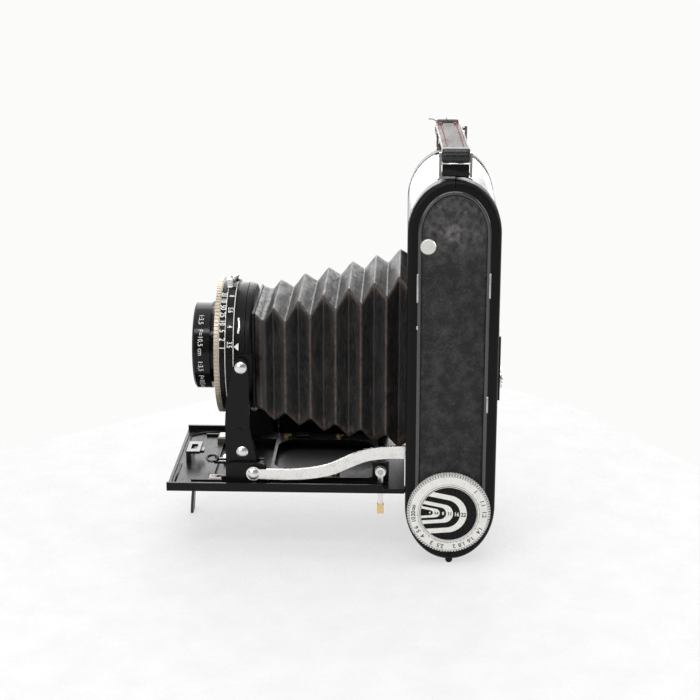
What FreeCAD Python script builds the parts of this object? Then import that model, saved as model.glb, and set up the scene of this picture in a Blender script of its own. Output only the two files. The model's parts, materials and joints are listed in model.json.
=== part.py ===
"""Folding roll-film camera, standing on its short end with the bed open and the lens board erected.

Units are millimetres. The lens looks along -Y, +Z is up and +X is the side with the focusing dial.
While modelling, the optical axis is the line x = 0, z = 0 and the front face of the body is y = 0.
Every solid is moved by -ORIGIN when it is written, so the origin is the centre of the footprint on the floor.
"""
import FreeCAD
import Part
import math
import os
from FreeCAD import Vector

os.makedirs("parts", exist_ok=True)

# ---------------------------------------------------------------- driving dimensions
BODY_HALF_WIDTH = 40.0        # half of the width across the two end faces, along X
BODY_DEPTH = 38.0             # front face to back face
BODY_MID_Y = BODY_DEPTH / 2
STRAIGHT_Z = 59.0             # the sides are straight up to this height, then the ends are elliptical
TOP_RISE, LOW_RISE = 22.0, 24.0   # height of each elliptical end beyond the straight part
BODY_TOP, BODY_LOW = STRAIGHT_Z + TOP_RISE, -STRAIGHT_Z - LOW_RISE
WALL = 2.0                    # sheet body wall
RIM = 4.6                     # width of the rim round each end face
PLATE_GAP = 0.2               # gap between a rim and the end plate inside it
PLATE_IN, PLATE_OUT = 37.3, 39.2
LEATHER = 0.6                 # leather thickness
BAND = 31.0                   # half width of the leather band round the body
SEAM = 0.15                   # half of the seam between body and back

FILM_Y = 31.5                 # film plane
GATE_FRONT = 29.4
FRAME_HALF_X, FRAME_HALF_Z = 28.0, 42.0   # half size of the picture frame
SPOOL_Z = 65.5
SPOOL_R = 12.4

BED_AXIS_Y, BED_AXIS_Z = 1.5, -52.7       # hinge line of the bed
BED_IN_Z = BED_AXIS_Z - 0.3               # inner face of the open bed
BED_OUT_Z = BED_AXIS_Z - 1.5              # outer face of the open bed
BED_FRONT_Y = -101.5
BED_REAR_Y = -0.3
BED_HALF_X = 37.2
BED_DOME = 1.5                            # depth of the bulge pressed into the bed
OPENING_X, OPENING_LOW, OPENING_HIGH = 37.5, -54.7, 51.2

PIVOT_Y = -69.5                           # both upright pivots, with the bed open
PIVOT_LOW_Z, PIVOT_HIGH_Z = -38.5, -1.0
STRUT_PIVOT_Y, STRUT_PIVOT_Z = -64.5, -47.0
RIVET_R, RIVET_HOLE_R = 1.5, 1.56
EAR_IN, EAR_OUT = 27.2, 28.6              # carriage ears
SLIDE_GAP = 1.2                           # height of the carriage above the bed, over its rails
UPRIGHT_IN, UPRIGHT_OUT = 29.6, 30.9
STRUT_IN, STRUT_OUT = 33.3, 34.7

LENS_FRONT_Y, LENS_REAR_Y = -91.5, -84.0  # plain outside of the lens ring
LENS_R, NECK_R, LENS_BORE_R = 19.0, 16.5, 15.25
SHUTTER_R = 27.5
SHUTTER_FRONT_Y, SHUTTER_REAR_Y = -80.8, -68.2
SHUTTER_WALL = 1.5
RING_R, KNURL_R = 28.8, 29.4              # number bands and the coin-edged grip
COCKING_ANGLE = 12.0                      # from the top, towards +X
GRIP_Y, SPEED_BAND_Y, APERTURE_FRONT_Y, APERTURE_REAR_Y = -79.1, -76.1, -75.9, -72.6
TURNING_FIT = 0.08
BOARD_FRONT_Y, BOARD_REAR_Y = -68.0, -65.0
CHEEK_FRONT_Y, CHEEK_X = -72.4, 28.8
REAR_CELL_Y = -63.6
BELLOWS_FRONT_Y, BELLOWS_REAR_Y = -64.0, 29.2
BELLOWS_PITCH = 10.6
BELLOWS_FIRST_RIDGE = 27.3                # y of the ridge nearest the film gate
BELLOWS_SKIN = 0.8

DIAL_Y, DIAL_Z, DIAL_R = 18.5, -60.5, 17.6
DIAL_IN, DIAL_OUT = 40.2, 43.6
BUTTON_Y, BUTTON_Z, BUTTON_R = 8.4, 54.0, 3.2
TRIGGER_Y, TRIGGER_Z = -10.5, -46.5
HINGE_Z = BODY_LOW - 0.2                  # hinge line of the back
HINGE_R = 1.5
FLOOR_Z = HINGE_Z - HINGE_R
FOOT_Y, FOOT_AXIS_Z = -93.5, BED_OUT_Z - 1.3
FOOT_X, FOOT_HALF = -15.5, 3.5
FOOT_LEAN, FOOT_BOW = 4.2, 2.9            # how far forward the foot's tip and its middle stand
BUSH_Y, BUSH_R, BUSH_HOLE_R = -75.0, 6.2, 3.95
BUSH_LOW_Z, BUSH_HIGH_Z = BED_OUT_Z - 2.7, BED_IN_Z + 0.9

FINDER_OUT_X = -52.0
KNOB_OUT_X = -49.0
WINDOW_KNOB_X, WINDOW_KNOB_Z = 18.0, -8.0
BACK_OUT_Y = BODY_DEPTH + 3.0             # outermost face of the window cover's grip
STRAP_BAR_X, STRAP_BAR_Z = 34.3, BODY_TOP + 9.1
STRAP_LOOP_R, STRAP_BAR_R = 3.2, 0.9
STRAP_HALF, STRAP_BOW = 5.4, 0.9          # half width, and rise of the middle over the loops

ORIGIN = Vector((DIAL_OUT + FINDER_OUT_X) / 2, (BED_FRONT_Y + BACK_OUT_Y) / 2, FLOOR_Z)


# ---------------------------------------------------------------- helpers
def box(x0, x1, y0, y1, z0, z1):
    return Part.makeBox(x1 - x0, y1 - y0, z1 - z0, Vector(x0, y0, z0))


def cyl_x(y, z, r, x0, x1):
    return Part.makeCylinder(r, abs(x1 - x0), Vector(min(x0, x1), y, z), Vector(1, 0, 0))


def cyl_y(x, z, r, y0, y1):
    return Part.makeCylinder(r, y1 - y0, Vector(x, y0, z), Vector(0, 1, 0))


def cyl_z(x, y, r, z0, z1):
    return Part.makeCylinder(r, z1 - z0, Vector(x, y, z0), Vector(0, 0, 1))


def tube_y(r_out, r_in, y0, y1):
    return cyl_y(0, 0, r_out, y0, y1).cut(cyl_y(0, 0, r_in, y0 - 1, y1 + 1))


def fuse(shapes):
    joined = shapes[0]
    for shape in shapes[1:]:
        joined = joined.fuse(shape)
    return joined.removeSplitter()


def mirrored(shape):
    """The shape and its mirror image in the plane x = 0, as one compound of separate solids."""
    return Part.makeCompound([shape, shape.mirror(Vector(0, 0, 0), Vector(1, 0, 0))])


def plate_yz(points, x0, x1):
    """A flat plate across X, cut to a closed outline of (y, z) points."""
    ring = [Vector(x0, y, z) for y, z in points]
    face = Part.Face(Part.makePolygon(ring + ring[:1]))
    return face.extrude(Vector(x1 - x0, 0, 0))


def oblong(inset, x0, x1):
    """The body's outline, inset all round, as a solid from x0 to x1."""
    a = BODY_MID_Y - inset
    top, low = Vector(x0, BODY_MID_Y, STRAIGHT_Z), Vector(x0, BODY_MID_Y, -STRAIGHT_Z)
    rise, drop = Vector(0, 0, TOP_RISE - inset), Vector(0, 0, LOW_RISE - inset)
    upper = Part.Ellipse(top + rise, top - Vector(0, a, 0), top)
    lower = Part.Ellipse(low - drop, low + Vector(0, a, 0), low)
    arcs = [Part.ArcOfEllipse(e, -math.pi / 2, math.pi / 2).toShape() for e in (upper, lower)]
    y0, y1 = BODY_MID_Y - a, BODY_MID_Y + a
    sides = [
        Part.makeLine(Vector(x0, y0, STRAIGHT_Z), Vector(x0, y0, -STRAIGHT_Z)),
        Part.makeLine(Vector(x0, y1, -STRAIGHT_Z), Vector(x0, y1, STRAIGHT_Z)),
    ]
    wire = Part.Wire(Part.__sortEdges__([arcs[0], sides[0], arcs[1], sides[1]]))
    return Part.Face(wire).extrude(Vector(x1 - x0, 0, 0))


def toothed_disc(radius, depth, teeth, x0, x1, y, z):
    """A coin-edged disc across X: its rim is a zigzag of small teeth."""
    outline = []
    for i in range(2 * teeth):
        r = radius - (depth if i % 2 else 0)
        turn = math.pi * i / teeth
        outline.append((y + r * math.cos(turn), z + r * math.sin(turn)))
    return plate_yz(outline, x0, x1)


def rivet(y, z, x_head, x_in, head_r):
    """A domed rivet head with its shaft running in to x_in."""
    dome_r = 4.0
    centre = x_head + 1.1 - dome_r
    ball = Part.makeSphere(dome_r, Vector(centre, y, z))
    head = ball.common(cyl_x(y, z, head_r, x_head, x_head + 3))
    return head.fuse(cyl_x(y, z, RIVET_R, x_in, x_head)).removeSplitter()


def save(name, shape):
    moved = shape.copy()
    moved.translate(-ORIGIN)
    moved.exportStep("parts/" + name + ".step")


# ---------------------------------------------------------------- body shell, back and leather
def body_ring():
    """The sheet tube round the body with a rim at each end face, before it is split into body and back."""
    outer = oblong(0, -BODY_HALF_WIDTH, BODY_HALF_WIDTH)
    end_edges = [e for e in outer.Edges if abs(abs(e.CenterOfMass.x) - BODY_HALF_WIDTH) < 0.01]
    outer = outer.makeFillet(1.9, end_edges)
    ring = outer.cut(oblong(WALL, -PLATE_IN, PLATE_IN))
    ring = ring.cut(oblong(RIM, -BODY_HALF_WIDTH - 1, BODY_HALF_WIDTH + 1))
    groove = oblong(-1, -BAND, BAND).cut(oblong(LEATHER + 0.2, -BAND - 1, BAND + 1))
    return ring.cut(groove)


def leather_band():
    skin = oblong(0.2, -BAND + 0.1, BAND - 0.1)
    return skin.cut(oblong(LEATHER + 0.2, -BAND - 1, BAND + 1))


FRONT_HALF = box(-60, 60, -10, BODY_MID_Y - SEAM, -100, 100)
BACK_HALF = box(-60, 60, BODY_MID_Y + SEAM, 60, -100, 100)
BED_OPENING = box(-OPENING_X, OPENING_X, -2, WALL + 1, OPENING_LOW, OPENING_HIGH)
RED_WINDOW = cyl_y(WINDOW_KNOB_X, WINDOW_KNOB_Z, 5.2, 30, 45)
HINGE_CLEAR = cyl_x(BODY_MID_Y, HINGE_Z, HINGE_R + 0.15, -45, 45)


def hinge_knuckles(first, count, length):
    """Back hinge barrels: every second length along X, starting at the given one."""
    barrels = []
    for i in range(first, count, 2):
        x0 = -length * count / 2 + length * i + 0.1
        barrel = cyl_x(BODY_MID_Y, HINGE_Z, HINGE_R, x0, x0 + length - 0.2)
        barrels.append(barrel.cut(cyl_x(BODY_MID_Y, HINGE_Z, 0.75, x0 - 1, x0 + length)))
    return barrels


def knuckle_slots(first, count, length):
    """Room in one half for the other half's barrels."""
    slots = []
    for i in range(first, count, 2):
        x0 = -length * count / 2 + length * i
        slots.append(cyl_x(BODY_MID_Y, HINGE_Z, HINGE_R + 0.15, x0, x0 + length))
    return slots


KNUCKLES, KNUCKLE_LENGTH = 6, 13.0


def hinged_half(half, own):
    """One half of the ring with its own hinge barrels joined on and room for the other half's."""
    joined = half.cut(Part.makeCompound(knuckle_slots(1 - own, KNUCKLES, KNUCKLE_LENGTH)))
    joined = fuse([joined] + hinge_knuckles(own, KNUCKLES, KNUCKLE_LENGTH))
    return joined.cut(cyl_x(BODY_MID_Y, HINGE_Z, 0.75, -45, 45))


def front_shell():
    return hinged_half(body_ring().common(FRONT_HALF).cut(BED_OPENING), 0)


def back_door():
    return hinged_half(body_ring().common(BACK_HALF).cut(RED_WINDOW), 1)


def front_leather():
    room = box(-60, 60, -2, WALL + 1, OPENING_LOW - 1.5, OPENING_HIGH + 1.5)
    skin = leather_band().common(FRONT_HALF).cut(room)
    skin = skin.cut(HINGE_CLEAR).cut(strap_foot_room())
    return skin.cut(box(-60, 60, BODY_MID_Y - 3.2, 60, -100, -75))


def back_leather():
    skin = leather_band().common(BACK_HALF).cut(RED_WINDOW).cut(HINGE_CLEAR).cut(strap_foot_room())
    skin = skin.cut(box(-60, 60, -2, BODY_MID_Y + 3.2, -100, -75))
    return skin


def end_plate(side):
    """Flat end plate: it closes one end face and holds the spools."""
    plate = oblong(RIM + PLATE_GAP, PLATE_IN, PLATE_OUT)
    if side > 0:
        plate = plate.cut(cyl_x(BUTTON_Y, BUTTON_Z, BUTTON_R + 0.15, 30, 45))
        return plate.cut(cyl_x(DIAL_Y, DIAL_Z, 2.6, 30, 45))
    plate = plate.mirror(Vector(0, 0, 0), Vector(1, 0, 0))
    return plate.cut(cyl_x(BODY_MID_Y, SPOOL_Z, 2.6, -45, -30))


def end_leather(side):
    skin = oblong(RIM + 0.9, PLATE_OUT, PLATE_OUT + LEATHER)
    if side > 0:
        skin = skin.cut(cyl_x(BUTTON_Y, BUTTON_Z, BUTTON_R + 0.3, 30, 45))
        return skin.cut(cyl_x(DIAL_Y, DIAL_Z, 2.6, 30, 45))
    skin = skin.mirror(Vector(0, 0, 0), Vector(1, 0, 0))
    return skin.cut(cyl_x(BODY_MID_Y, SPOOL_Z, 9.3, -45, -30)).cut(box(-45, -30, 5, 33, -27, 27))


# ---------------------------------------------------------------- film path
def film_gate():
    plate = box(-36.8, 36.8, GATE_FRONT, FILM_Y - 0.2, -52, 52)
    opening = box(-FRAME_HALF_X, FRAME_HALF_X, 20, 40, -FRAME_HALF_Z, FRAME_HALF_Z)
    rails = [box(s * 30 - 0.6, s * 30 + 0.6, FILM_Y - 0.2, FILM_Y + 0.1, -48, 48) for s in (-1, 1)]
    return fuse([plate.cut(opening)] + rails)


def film_rollers():
    return Part.makeCompound([cyl_x(GATE_FRONT - 0.6, s * 55.2, 1.6, -33, 33) for s in (-1, 1)])


def spool(z):
    """A film spool: two slotted flanges on a core."""
    core = cyl_x(BODY_MID_Y, z, 5.6, -31, 31)
    flanges = [cyl_x(BODY_MID_Y, z, SPOOL_R, s * 31.8 - 0.8, s * 31.8 + 0.8) for s in (-1, 1)]
    slot = box(-40, 40, BODY_MID_Y - 0.9, BODY_MID_Y + 0.9, z - 3.2, z + 3.2)
    ends = box(-24, 24, 0, 40, z - 20, z + 20)
    return fuse([core] + flanges).cut(slot.cut(ends)).cut(cyl_x(BODY_MID_Y, z, 2.6, -40, 40).cut(ends))


def spool_pins():
    """Sprung pins that carry the spool ends on the dial side, and the lower spool's far end."""
    near = [cyl_x(BODY_MID_Y, z, 2.2, 26, PLATE_IN) for z in (SPOOL_Z, -SPOOL_Z)]
    return Part.makeCompound(near + [cyl_x(BODY_MID_Y, -SPOOL_Z, 2.2, -PLATE_IN, -26)])


def winding_shaft():
    """The key's shaft reaches the take-up spool through the end plate and carries the drive blade."""
    shaft = cyl_x(BODY_MID_Y, SPOOL_Z, 2.4, KNOB_OUT_X + 1, -34.5)
    tip = cyl_x(BODY_MID_Y, SPOOL_Z, 2.2, -34.6, -25)
    blade = box(-32.0, -25, BODY_MID_Y - 0.7, BODY_MID_Y + 0.7, SPOOL_Z - 2.9, SPOOL_Z + 2.9)
    return fuse([shaft, tip, blade])


def winding_knob():
    knob = toothed_disc(9.0, 0.5, 36, KNOB_OUT_X, -40.6, BODY_MID_Y, SPOOL_Z)
    return knob.cut(cyl_x(BODY_MID_Y, SPOOL_Z, 2.4, KNOB_OUT_X + 1, -30))


def pressure_plate():
    plate = box(-31, 31, FILM_Y + 0.3, FILM_Y + 1.5, -45, 45)
    return plate.cut(cyl_y(WINDOW_KNOB_X, WINDOW_KNOB_Z, 4.0, 20, 45))


def pressure_springs():
    strips = []
    for z in (-30, 30):
        strips.append(box(-20, 20, FILM_Y + 1.5, FILM_Y + 1.9, z - 3, z + 3))
        strips.append(box(-4, 4, FILM_Y + 1.9, BODY_DEPTH - WALL, z - 3, z + 3))
    return Part.makeCompound([fuse(strips[:2]), fuse(strips[2:])])


# ---------------------------------------------------------------- red window
def window_ring():
    ring = cyl_y(WINDOW_KNOB_X, WINDOW_KNOB_Z, 5.1, BODY_DEPTH - WALL, BODY_DEPTH + 0.3)
    return ring.cut(cyl_y(WINDOW_KNOB_X, WINDOW_KNOB_Z, 4.1, 30, 45))


def window_glass():
    return cyl_y(WINDOW_KNOB_X, WINDOW_KNOB_Z, 4.05, BODY_DEPTH - 1.2, BODY_DEPTH - 0.4)


def window_rails():
    rails = []
    for side in (-1, 1):
        x = WINDOW_KNOB_X + side * 6.6
        rails.append(box(x - 0.6, x + 0.6, BODY_DEPTH - 0.2, BODY_DEPTH + 1.6, -16, 12))
    return Part.makeCompound(rails)


def window_cover():
    x0, x1 = WINDOW_KNOB_X - 5.9, WINDOW_KNOB_X + 5.9
    plate = box(x0, x1, BODY_DEPTH + 0.4, BODY_DEPTH + 1.3, WINDOW_KNOB_Z - 6.5, WINDOW_KNOB_Z + 6.5)
    grip = cyl_y(WINDOW_KNOB_X, WINDOW_KNOB_Z, 4.6, BODY_DEPTH + 1.3, BACK_OUT_Y)
    ribs = [box(x0, x1, BACK_OUT_Y - 0.5, 60, WINDOW_KNOB_Z + k * 1.6 - 0.4, WINDOW_KNOB_Z + k * 1.6 + 0.4)
            for k in range(-2, 3)]
    return fuse([plate, grip]).cut(Part.makeCompound(ribs))


# ---------------------------------------------------------------- bellows
def bellows_half_sizes(y, top_ridge):
    """Half width and half height of the pleat at y. The top ridges line up with the side valleys."""
    hz = 35.0 + 0.21 * y
    hx = 28.9 + 0.022 * y
    return (hx - 3.6, hz + 2.8) if top_ridge else (hx + 2.1, hz - 2.8)


def bellows_stations():
    y, top_ridge, stations = BELLOWS_FIRST_RIDGE, True, [(BELLOWS_REAR_Y, False)]
    while y > BELLOWS_FRONT_Y + 1:
        stations.append((y, top_ridge))
        y -= BELLOWS_PITCH / 2
        top_ridge = not top_ridge
    return stations + [(BELLOWS_FRONT_Y, top_ridge)]


def bellows_core(inset, over):
    wires = []
    for y, top_ridge in bellows_stations():
        hx, hz = bellows_half_sizes(y, top_ridge)
        if y == BELLOWS_FRONT_Y:
            hx, hz, y = 24.0, 20.5, y - over
        if y == BELLOWS_REAR_Y:
            hx, hz, y = 30.0, 43.0, y + over
        hx, hz = hx - inset, hz - inset
        corners = [Vector(hx, y, hz), Vector(-hx, y, hz), Vector(-hx, y, -hz), Vector(hx, y, -hz)]
        wires.append(Part.makePolygon(corners + corners[:1]))
    return Part.makeLoft(wires, True, True)


def bellows():
    return bellows_core(0, 0).cut(bellows_core(BELLOWS_SKIN * 1.6, 0.5))


# ---------------------------------------------------------------- bed
def bed_plate():
    plate = box(-BED_HALF_X, BED_HALF_X, BED_FRONT_Y, BED_REAR_Y, BED_OUT_Z, BED_IN_Z)
    dome = box(-25, 25, -84, -8, BED_OUT_Z - BED_DOME, BED_IN_Z)
    dome = dome.makeFillet(8, [e for e in dome.Edges if abs(e.tangentAt(e.FirstParameter).z) > 0.9])
    hollow = box(-24, 24, -83, -9, BED_IN_Z - BED_DOME, BED_IN_Z + 1)
    hollow = hollow.makeFillet(7, [e for e in hollow.Edges if abs(e.tangentAt(e.FirstParameter).z) > 0.9])
    flange_top = BED_AXIS_Z + 2.2
    flanges = [box(-BED_HALF_X, -BED_HALF_X + 1.2, BED_FRONT_Y, -10, BED_OUT_Z, flange_top),
               box(BED_HALF_X - 1.2, BED_HALF_X, BED_FRONT_Y, -10, BED_OUT_Z, flange_top),
               box(-BED_HALF_X, -BED_HALF_X + 1.2, -10, BED_REAR_Y, BED_OUT_Z, BED_IN_Z + 0.8),
               box(BED_HALF_X - 1.2, BED_HALF_X, -10, BED_REAR_Y, BED_OUT_Z, BED_IN_Z + 0.8),
               box(-BED_HALF_X, BED_HALF_X, BED_FRONT_Y, BED_FRONT_Y + 1.2, BED_OUT_Z, BED_IN_Z + 0.6)]
    bed = fuse([plate, dome] + flanges).cut(hollow)
    for side in (-1, 1):
        x = side * 34.5
        barrel = cyl_x(BED_AXIS_Y, BED_AXIS_Z, 1.75, x - 1.5, x + 1.5)
        tongue = box(x - 1.5, x + 1.5, BED_REAR_Y - 0.2, BED_AXIS_Y, BED_OUT_Z, BED_AXIS_Z)
        bed = bed.fuse(barrel.fuse(tongue))
    bed = bed.cut(cyl_x(BED_AXIS_Y, BED_AXIS_Z, 1.06, -40, 40))
    bed = bed.cut(cyl_z(0, BUSH_Y, BUSH_R, -70, -50))
    return bed.cut(box(30.9, 33.1, -31.5, -6.9, -60, -50)).removeSplitter()


def bed_hinge_pin():
    return cyl_x(BED_AXIS_Y, BED_AXIS_Z, 1.0, -PLATE_IN, PLATE_IN)


def back_hinge_pin():
    return cyl_x(BODY_MID_Y, HINGE_Z, 0.7, -39, 39)


def tripod_bush():
    """Threaded bush in the bed. The hole is drawn at the thread's inner diameter."""
    bush = cyl_z(0, BUSH_Y, BUSH_R, BUSH_LOW_Z, BUSH_HIGH_Z)
    return bush.cut(cyl_z(0, BUSH_Y, BUSH_HOLE_R, BUSH_LOW_Z - 1, BUSH_HIGH_Z + 1))


def bed_rails():
    return mirrored(box(28.3, 29.5, -92, -14, BED_IN_Z, BED_IN_Z + 1.1))


def strut_brackets():
    ear = box(31.3, 32.9, -76.5, -59, BED_IN_Z, BED_IN_Z + 10.2)
    foot = box(31.3, 35.6, -76.5, -59, BED_IN_Z, BED_IN_Z + 1.0)
    upper = [e for e in ear.Edges if e.CenterOfMass.z > -44 and abs(e.tangentAt(e.FirstParameter).x) > 0.9]
    ear = fuse([ear.makeFillet(3, upper), foot])
    return mirrored(ear.cut(cyl_x(STRUT_PIVOT_Y, STRUT_PIVOT_Z, RIVET_HOLE_R, 30, 40)))


def bed_catch():
    """The hooked catch near the bed's front edge that locks the closed bed."""
    post = box(-6.5, 6.5, -97, -94.8, BED_IN_Z, BED_IN_Z + 4.2)
    hood = box(-6.5, 6.5, -97, -91.0, BED_IN_Z + 4.2, BED_IN_Z + 5.4)
    window = box(-3, 3, -95.3, -92.6, BED_IN_Z + 3, BED_IN_Z + 7)
    tongue = box(-2, 2, -93, -89.6, BED_IN_Z + 3.0, BED_IN_Z + 4.2)
    return fuse([post, hood]).cut(window).fuse(tongue).removeSplitter()


def distance_stop():
    plate = box(23.0, 27.8, -85, -75.5, BED_IN_Z, BED_IN_Z + 1.2)
    plate = plate.makeChamfer(0.5, [e for e in plate.Edges if e.CenterOfMass.z > BED_IN_Z + 1.1])
    screw_seat = cyl_z(25.4, -80, 1.6, BED_IN_Z + 0.6, BED_IN_Z + 3)
    return plate.cut(screw_seat)


def far_stop():
    top = BED_IN_Z + 2.8
    base = box(-26.8, -19.5, -86, -79.2, BED_IN_Z, top)
    return base.makeFillet(1.0, [e for e in base.Edges if e.CenterOfMass.z > top - 0.1])


def release_link():
    """The pair of cranked wires that carry the trigger's pull to the shutter."""
    eye = Part.makeTorus(2.3, 0.6, Vector(12.0, -84.6, BED_IN_Z + 4.4), Vector(0.3, 0, 1))
    wires = [box(9.6 + k * 3.6, 10.8 + k * 3.6, -82.6, -62, BED_IN_Z + 2.7, BED_IN_Z + 3.9) for k in range(2)]
    crank = box(9.6, 14.4, -83.6, -82.4, BED_IN_Z + 2.7, BED_IN_Z + 4.4)
    return fuse([eye, crank] + wires)


def trigger_bracket():
    ear = box(27.2, 28.8, -14, -7, BED_IN_Z, BED_IN_Z + 9.4)
    foot = box(27.2, 30.4, -14, -7, BED_IN_Z, BED_IN_Z + 0.9).cut(box(28.2, 40, -40, -13.9, -60, -50))
    return fuse([ear, foot]).cut(cyl_x(TRIGGER_Y, TRIGGER_Z, 1.06, 20, 40))


def trigger_hub():
    """Folding hub: it turns in the bracket and carries the lever on its outer pin."""
    hub = cyl_x(TRIGGER_Y, TRIGGER_Z, 2.4, 29.0, 30.9)
    return fuse([hub, cyl_x(TRIGGER_Y, TRIGGER_Z, 1.0, 26.6, 32.9)])


def trigger_lever():
    """Chrome finger lever. It hangs below the open bed."""
    x0, x1 = 31.1, 32.7
    eye = cyl_x(TRIGGER_Y, TRIGGER_Z, 2.2, x0, x1)
    blade = box(x0, x1, TRIGGER_Y - 1.1, TRIGGER_Y + 1.1, TRIGGER_Z - 18.0, TRIGGER_Z)
    return fuse([eye, blade]).cut(cyl_x(TRIGGER_Y, TRIGGER_Z, 1.06, 20, 40))


def trigger_tip():
    x0, x1 = 30.9 + 0.05, 32.85
    z1 = TRIGGER_Z - 14.4
    cap = box(x0, x1, TRIGGER_Y - 1.4, TRIGGER_Y + 1.4, z1 - 4.2, z1)
    return cap.cut(box(31.1, 32.7, TRIGGER_Y - 1.1, TRIGGER_Y + 1.1, z1 - 3.6, z1 + 1))


def foot_strip(y, z, thickness, drop):
    """A gently bowed strip hanging from (y, z), upright at its tip."""
    x0 = FOOT_X - FOOT_HALF
    outer = Part.Arc(Vector(x0, y, z), Vector(x0, y - FOOT_BOW, z - drop / 2),
                     Vector(x0, y - FOOT_LEAN, z - drop)).toShape()
    inner = outer.copy()
    inner.translate(Vector(0, thickness, 0))
    ends = [Part.makeLine(outer.Vertexes[i].Point, inner.Vertexes[i].Point) for i in (0, -1)]
    wire = Part.Wire(Part.__sortEdges__([outer, inner] + ends))
    return Part.Face(wire).extrude(Vector(2 * FOOT_HALF, 0, 0))


def bed_foot():
    strip = foot_strip(FOOT_Y - 0.6, FOOT_AXIS_Z, 1.2, FOOT_AXIS_Z - FLOOR_Z)
    eye = cyl_x(FOOT_Y, FOOT_AXIS_Z, 1.2, FOOT_X - FOOT_HALF, FOOT_X + FOOT_HALF)
    return fuse([strip, eye]).cut(cyl_x(FOOT_Y, FOOT_AXIS_Z, 0.66, -30, 30))


def foot_hinge():
    ears = []
    for side in (-1, 1):
        x = FOOT_X + side * (FOOT_HALF + 1.0)
        ears.append(box(x - 0.8, x + 0.8, FOOT_Y - 1.2, FOOT_Y + 1.2, FOOT_AXIS_Z - 1.1, BED_OUT_Z))
    pin = cyl_x(FOOT_Y, FOOT_AXIS_Z, 0.6, FOOT_X - FOOT_HALF - 0.5, FOOT_X + FOOT_HALF + 0.5)
    return fuse([ears[0], pin, ears[1]])


# ---------------------------------------------------------------- carriage, uprights, struts
def carriage():
    low = BED_IN_Z + SLIDE_GAP + 0.1
    base = box(-EAR_OUT, EAR_OUT, -79, -59, low, low + 1.2)
    base = base.cut(box(-19, 19, -70, -58, low - 1, low + 3))
    base = base.cut(box(-27.0, -19.3, -80, -66.4, low - 1, low + 3))
    ears = []
    for side in (-1, 1):
        x0, x1 = sorted((side * EAR_IN, side * EAR_OUT))
        outline = [(-77, low), (-60, low), (-65, PIVOT_LOW_Z + 4), (-74, PIVOT_LOW_Z + 4)]
        ears.append(plate_yz(outline, x0, x1))
    holes = cyl_x(PIVOT_Y, PIVOT_LOW_Z, RIVET_HOLE_R, -40, 40)
    return fuse([base] + ears).cut(holes)


def carriage_plate():
    """The lacquered frame behind the carriage. Its oblong opening clears the lens when the bed is shut."""
    low = BED_IN_Z + SLIDE_GAP
    frame = box(-28.0, 28.0, -58.8, -12.5, low, low + 1.0)
    opening = box(-19.5, 19.5, -57.4, -14.0, low - 1, low + 3)
    opening = opening.makeFillet(9, [e for e in opening.Edges if abs(e.tangentAt(e.FirstParameter).z) > 0.9])
    return frame.cut(opening).cut(box(26.8, 32, -15, -5, low - 1, low + 3))


def carriage_tabs():
    low = BED_IN_Z + SLIDE_GAP + 1.0
    tabs = [box(s * 24 - 2.6, s * 24 + 2.6, -50, -44, low, low + 1.2) for s in (-1, 1)]
    return Part.makeCompound([t.makeFillet(0.5, t.Edges) for t in tabs])


def brass_screws():
    screws = []
    for x, y in ((23.4, -54), (-23.4, -54), (23.4, -30), (-23.4, -30)):
        head = cyl_z(x, y, 1.9, BED_IN_Z + 2.2, BED_IN_Z + 3.1)
        screws.append(head.cut(box(x - 3, x + 3, y - 0.25, y + 0.25, BED_IN_Z + 2.7, BED_IN_Z + 4)))
    return Part.makeCompound(screws)


def uprights():
    """Tapered side plates that carry the lens board."""
    outline = [(-76.6, -48.6), (-63.4, -48.6), (-63.2, -43), (-66.2, -28), (-66.2, -4), (-66.8, 1.0),
               (-68.4, 2.9), (-70.6, 2.9), (-72.2, 1.0), (-73.6, -4.0), (-76.0, -16), (-76.6, -26)]
    plate = plate_yz(outline, UPRIGHT_IN, UPRIGHT_OUT)
    for z in (PIVOT_LOW_Z, PIVOT_HIGH_Z):
        plate = plate.cut(cyl_x(PIVOT_Y, z, RIVET_R + 0.02, 20, 40))
    stud = cyl_x(PIVOT_Y - 1.1, -29, 1.1, UPRIGHT_OUT - 0.2, UPRIGHT_OUT + 0.5)
    return mirrored(fuse([plate, stud]))


def upright_rivets():
    return mirrored(rivet(PIVOT_Y, PIVOT_LOW_Z, UPRIGHT_OUT, EAR_IN, 2.5))


def board_rivets():
    return mirrored(rivet(PIVOT_Y, PIVOT_HIGH_Z, UPRIGHT_OUT, SHUTTER_R + 0.1, 2.6))


def strut_outline(offset):
    """One edge of the S-shaped strut, offset from its centre line."""
    centre = [(-64.5, -47.0), (-38.0, -46.2), (-31.0, -44.4), (-24.0, -41.2), (-17.0, -38.3),
              (-10.0, -37.0), (7.0, -36.6)]
    curve = Part.BSplineCurve()
    curve.interpolate([Vector(STRUT_IN, y, z) for y, z in centre])
    edge = []
    for i in range(25):
        t = curve.FirstParameter + (curve.LastParameter - curve.FirstParameter) * i / 24
        point, along = curve.value(t), curve.tangent(t)[0]
        across = Vector(0, -along.z, along.y)
        edge.append(point + across * (offset * (1 + 0.0045 * (point.y + 64.5))))
    return edge


def struts():
    left, right = strut_outline(2.15), strut_outline(-2.15)
    sides = [Part.BSplineCurve(), Part.BSplineCurve()]
    sides[0].interpolate(left)
    sides[1].interpolate(right)
    edges = [s.toShape() for s in sides]
    edges += [Part.makeLine(left[0], right[0]), Part.makeLine(left[-1], right[-1])]
    arm = Part.Face(Part.Wire(Part.__sortEdges__(edges))).extrude(Vector(STRUT_OUT - STRUT_IN, 0, 0))
    arm = fuse([arm, cyl_x(STRUT_PIVOT_Y, STRUT_PIVOT_Z, 3.1, STRUT_IN, STRUT_OUT)])
    return mirrored(arm.cut(cyl_x(STRUT_PIVOT_Y, STRUT_PIVOT_Z, RIVET_R + 0.02, 30, 40)))


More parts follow.
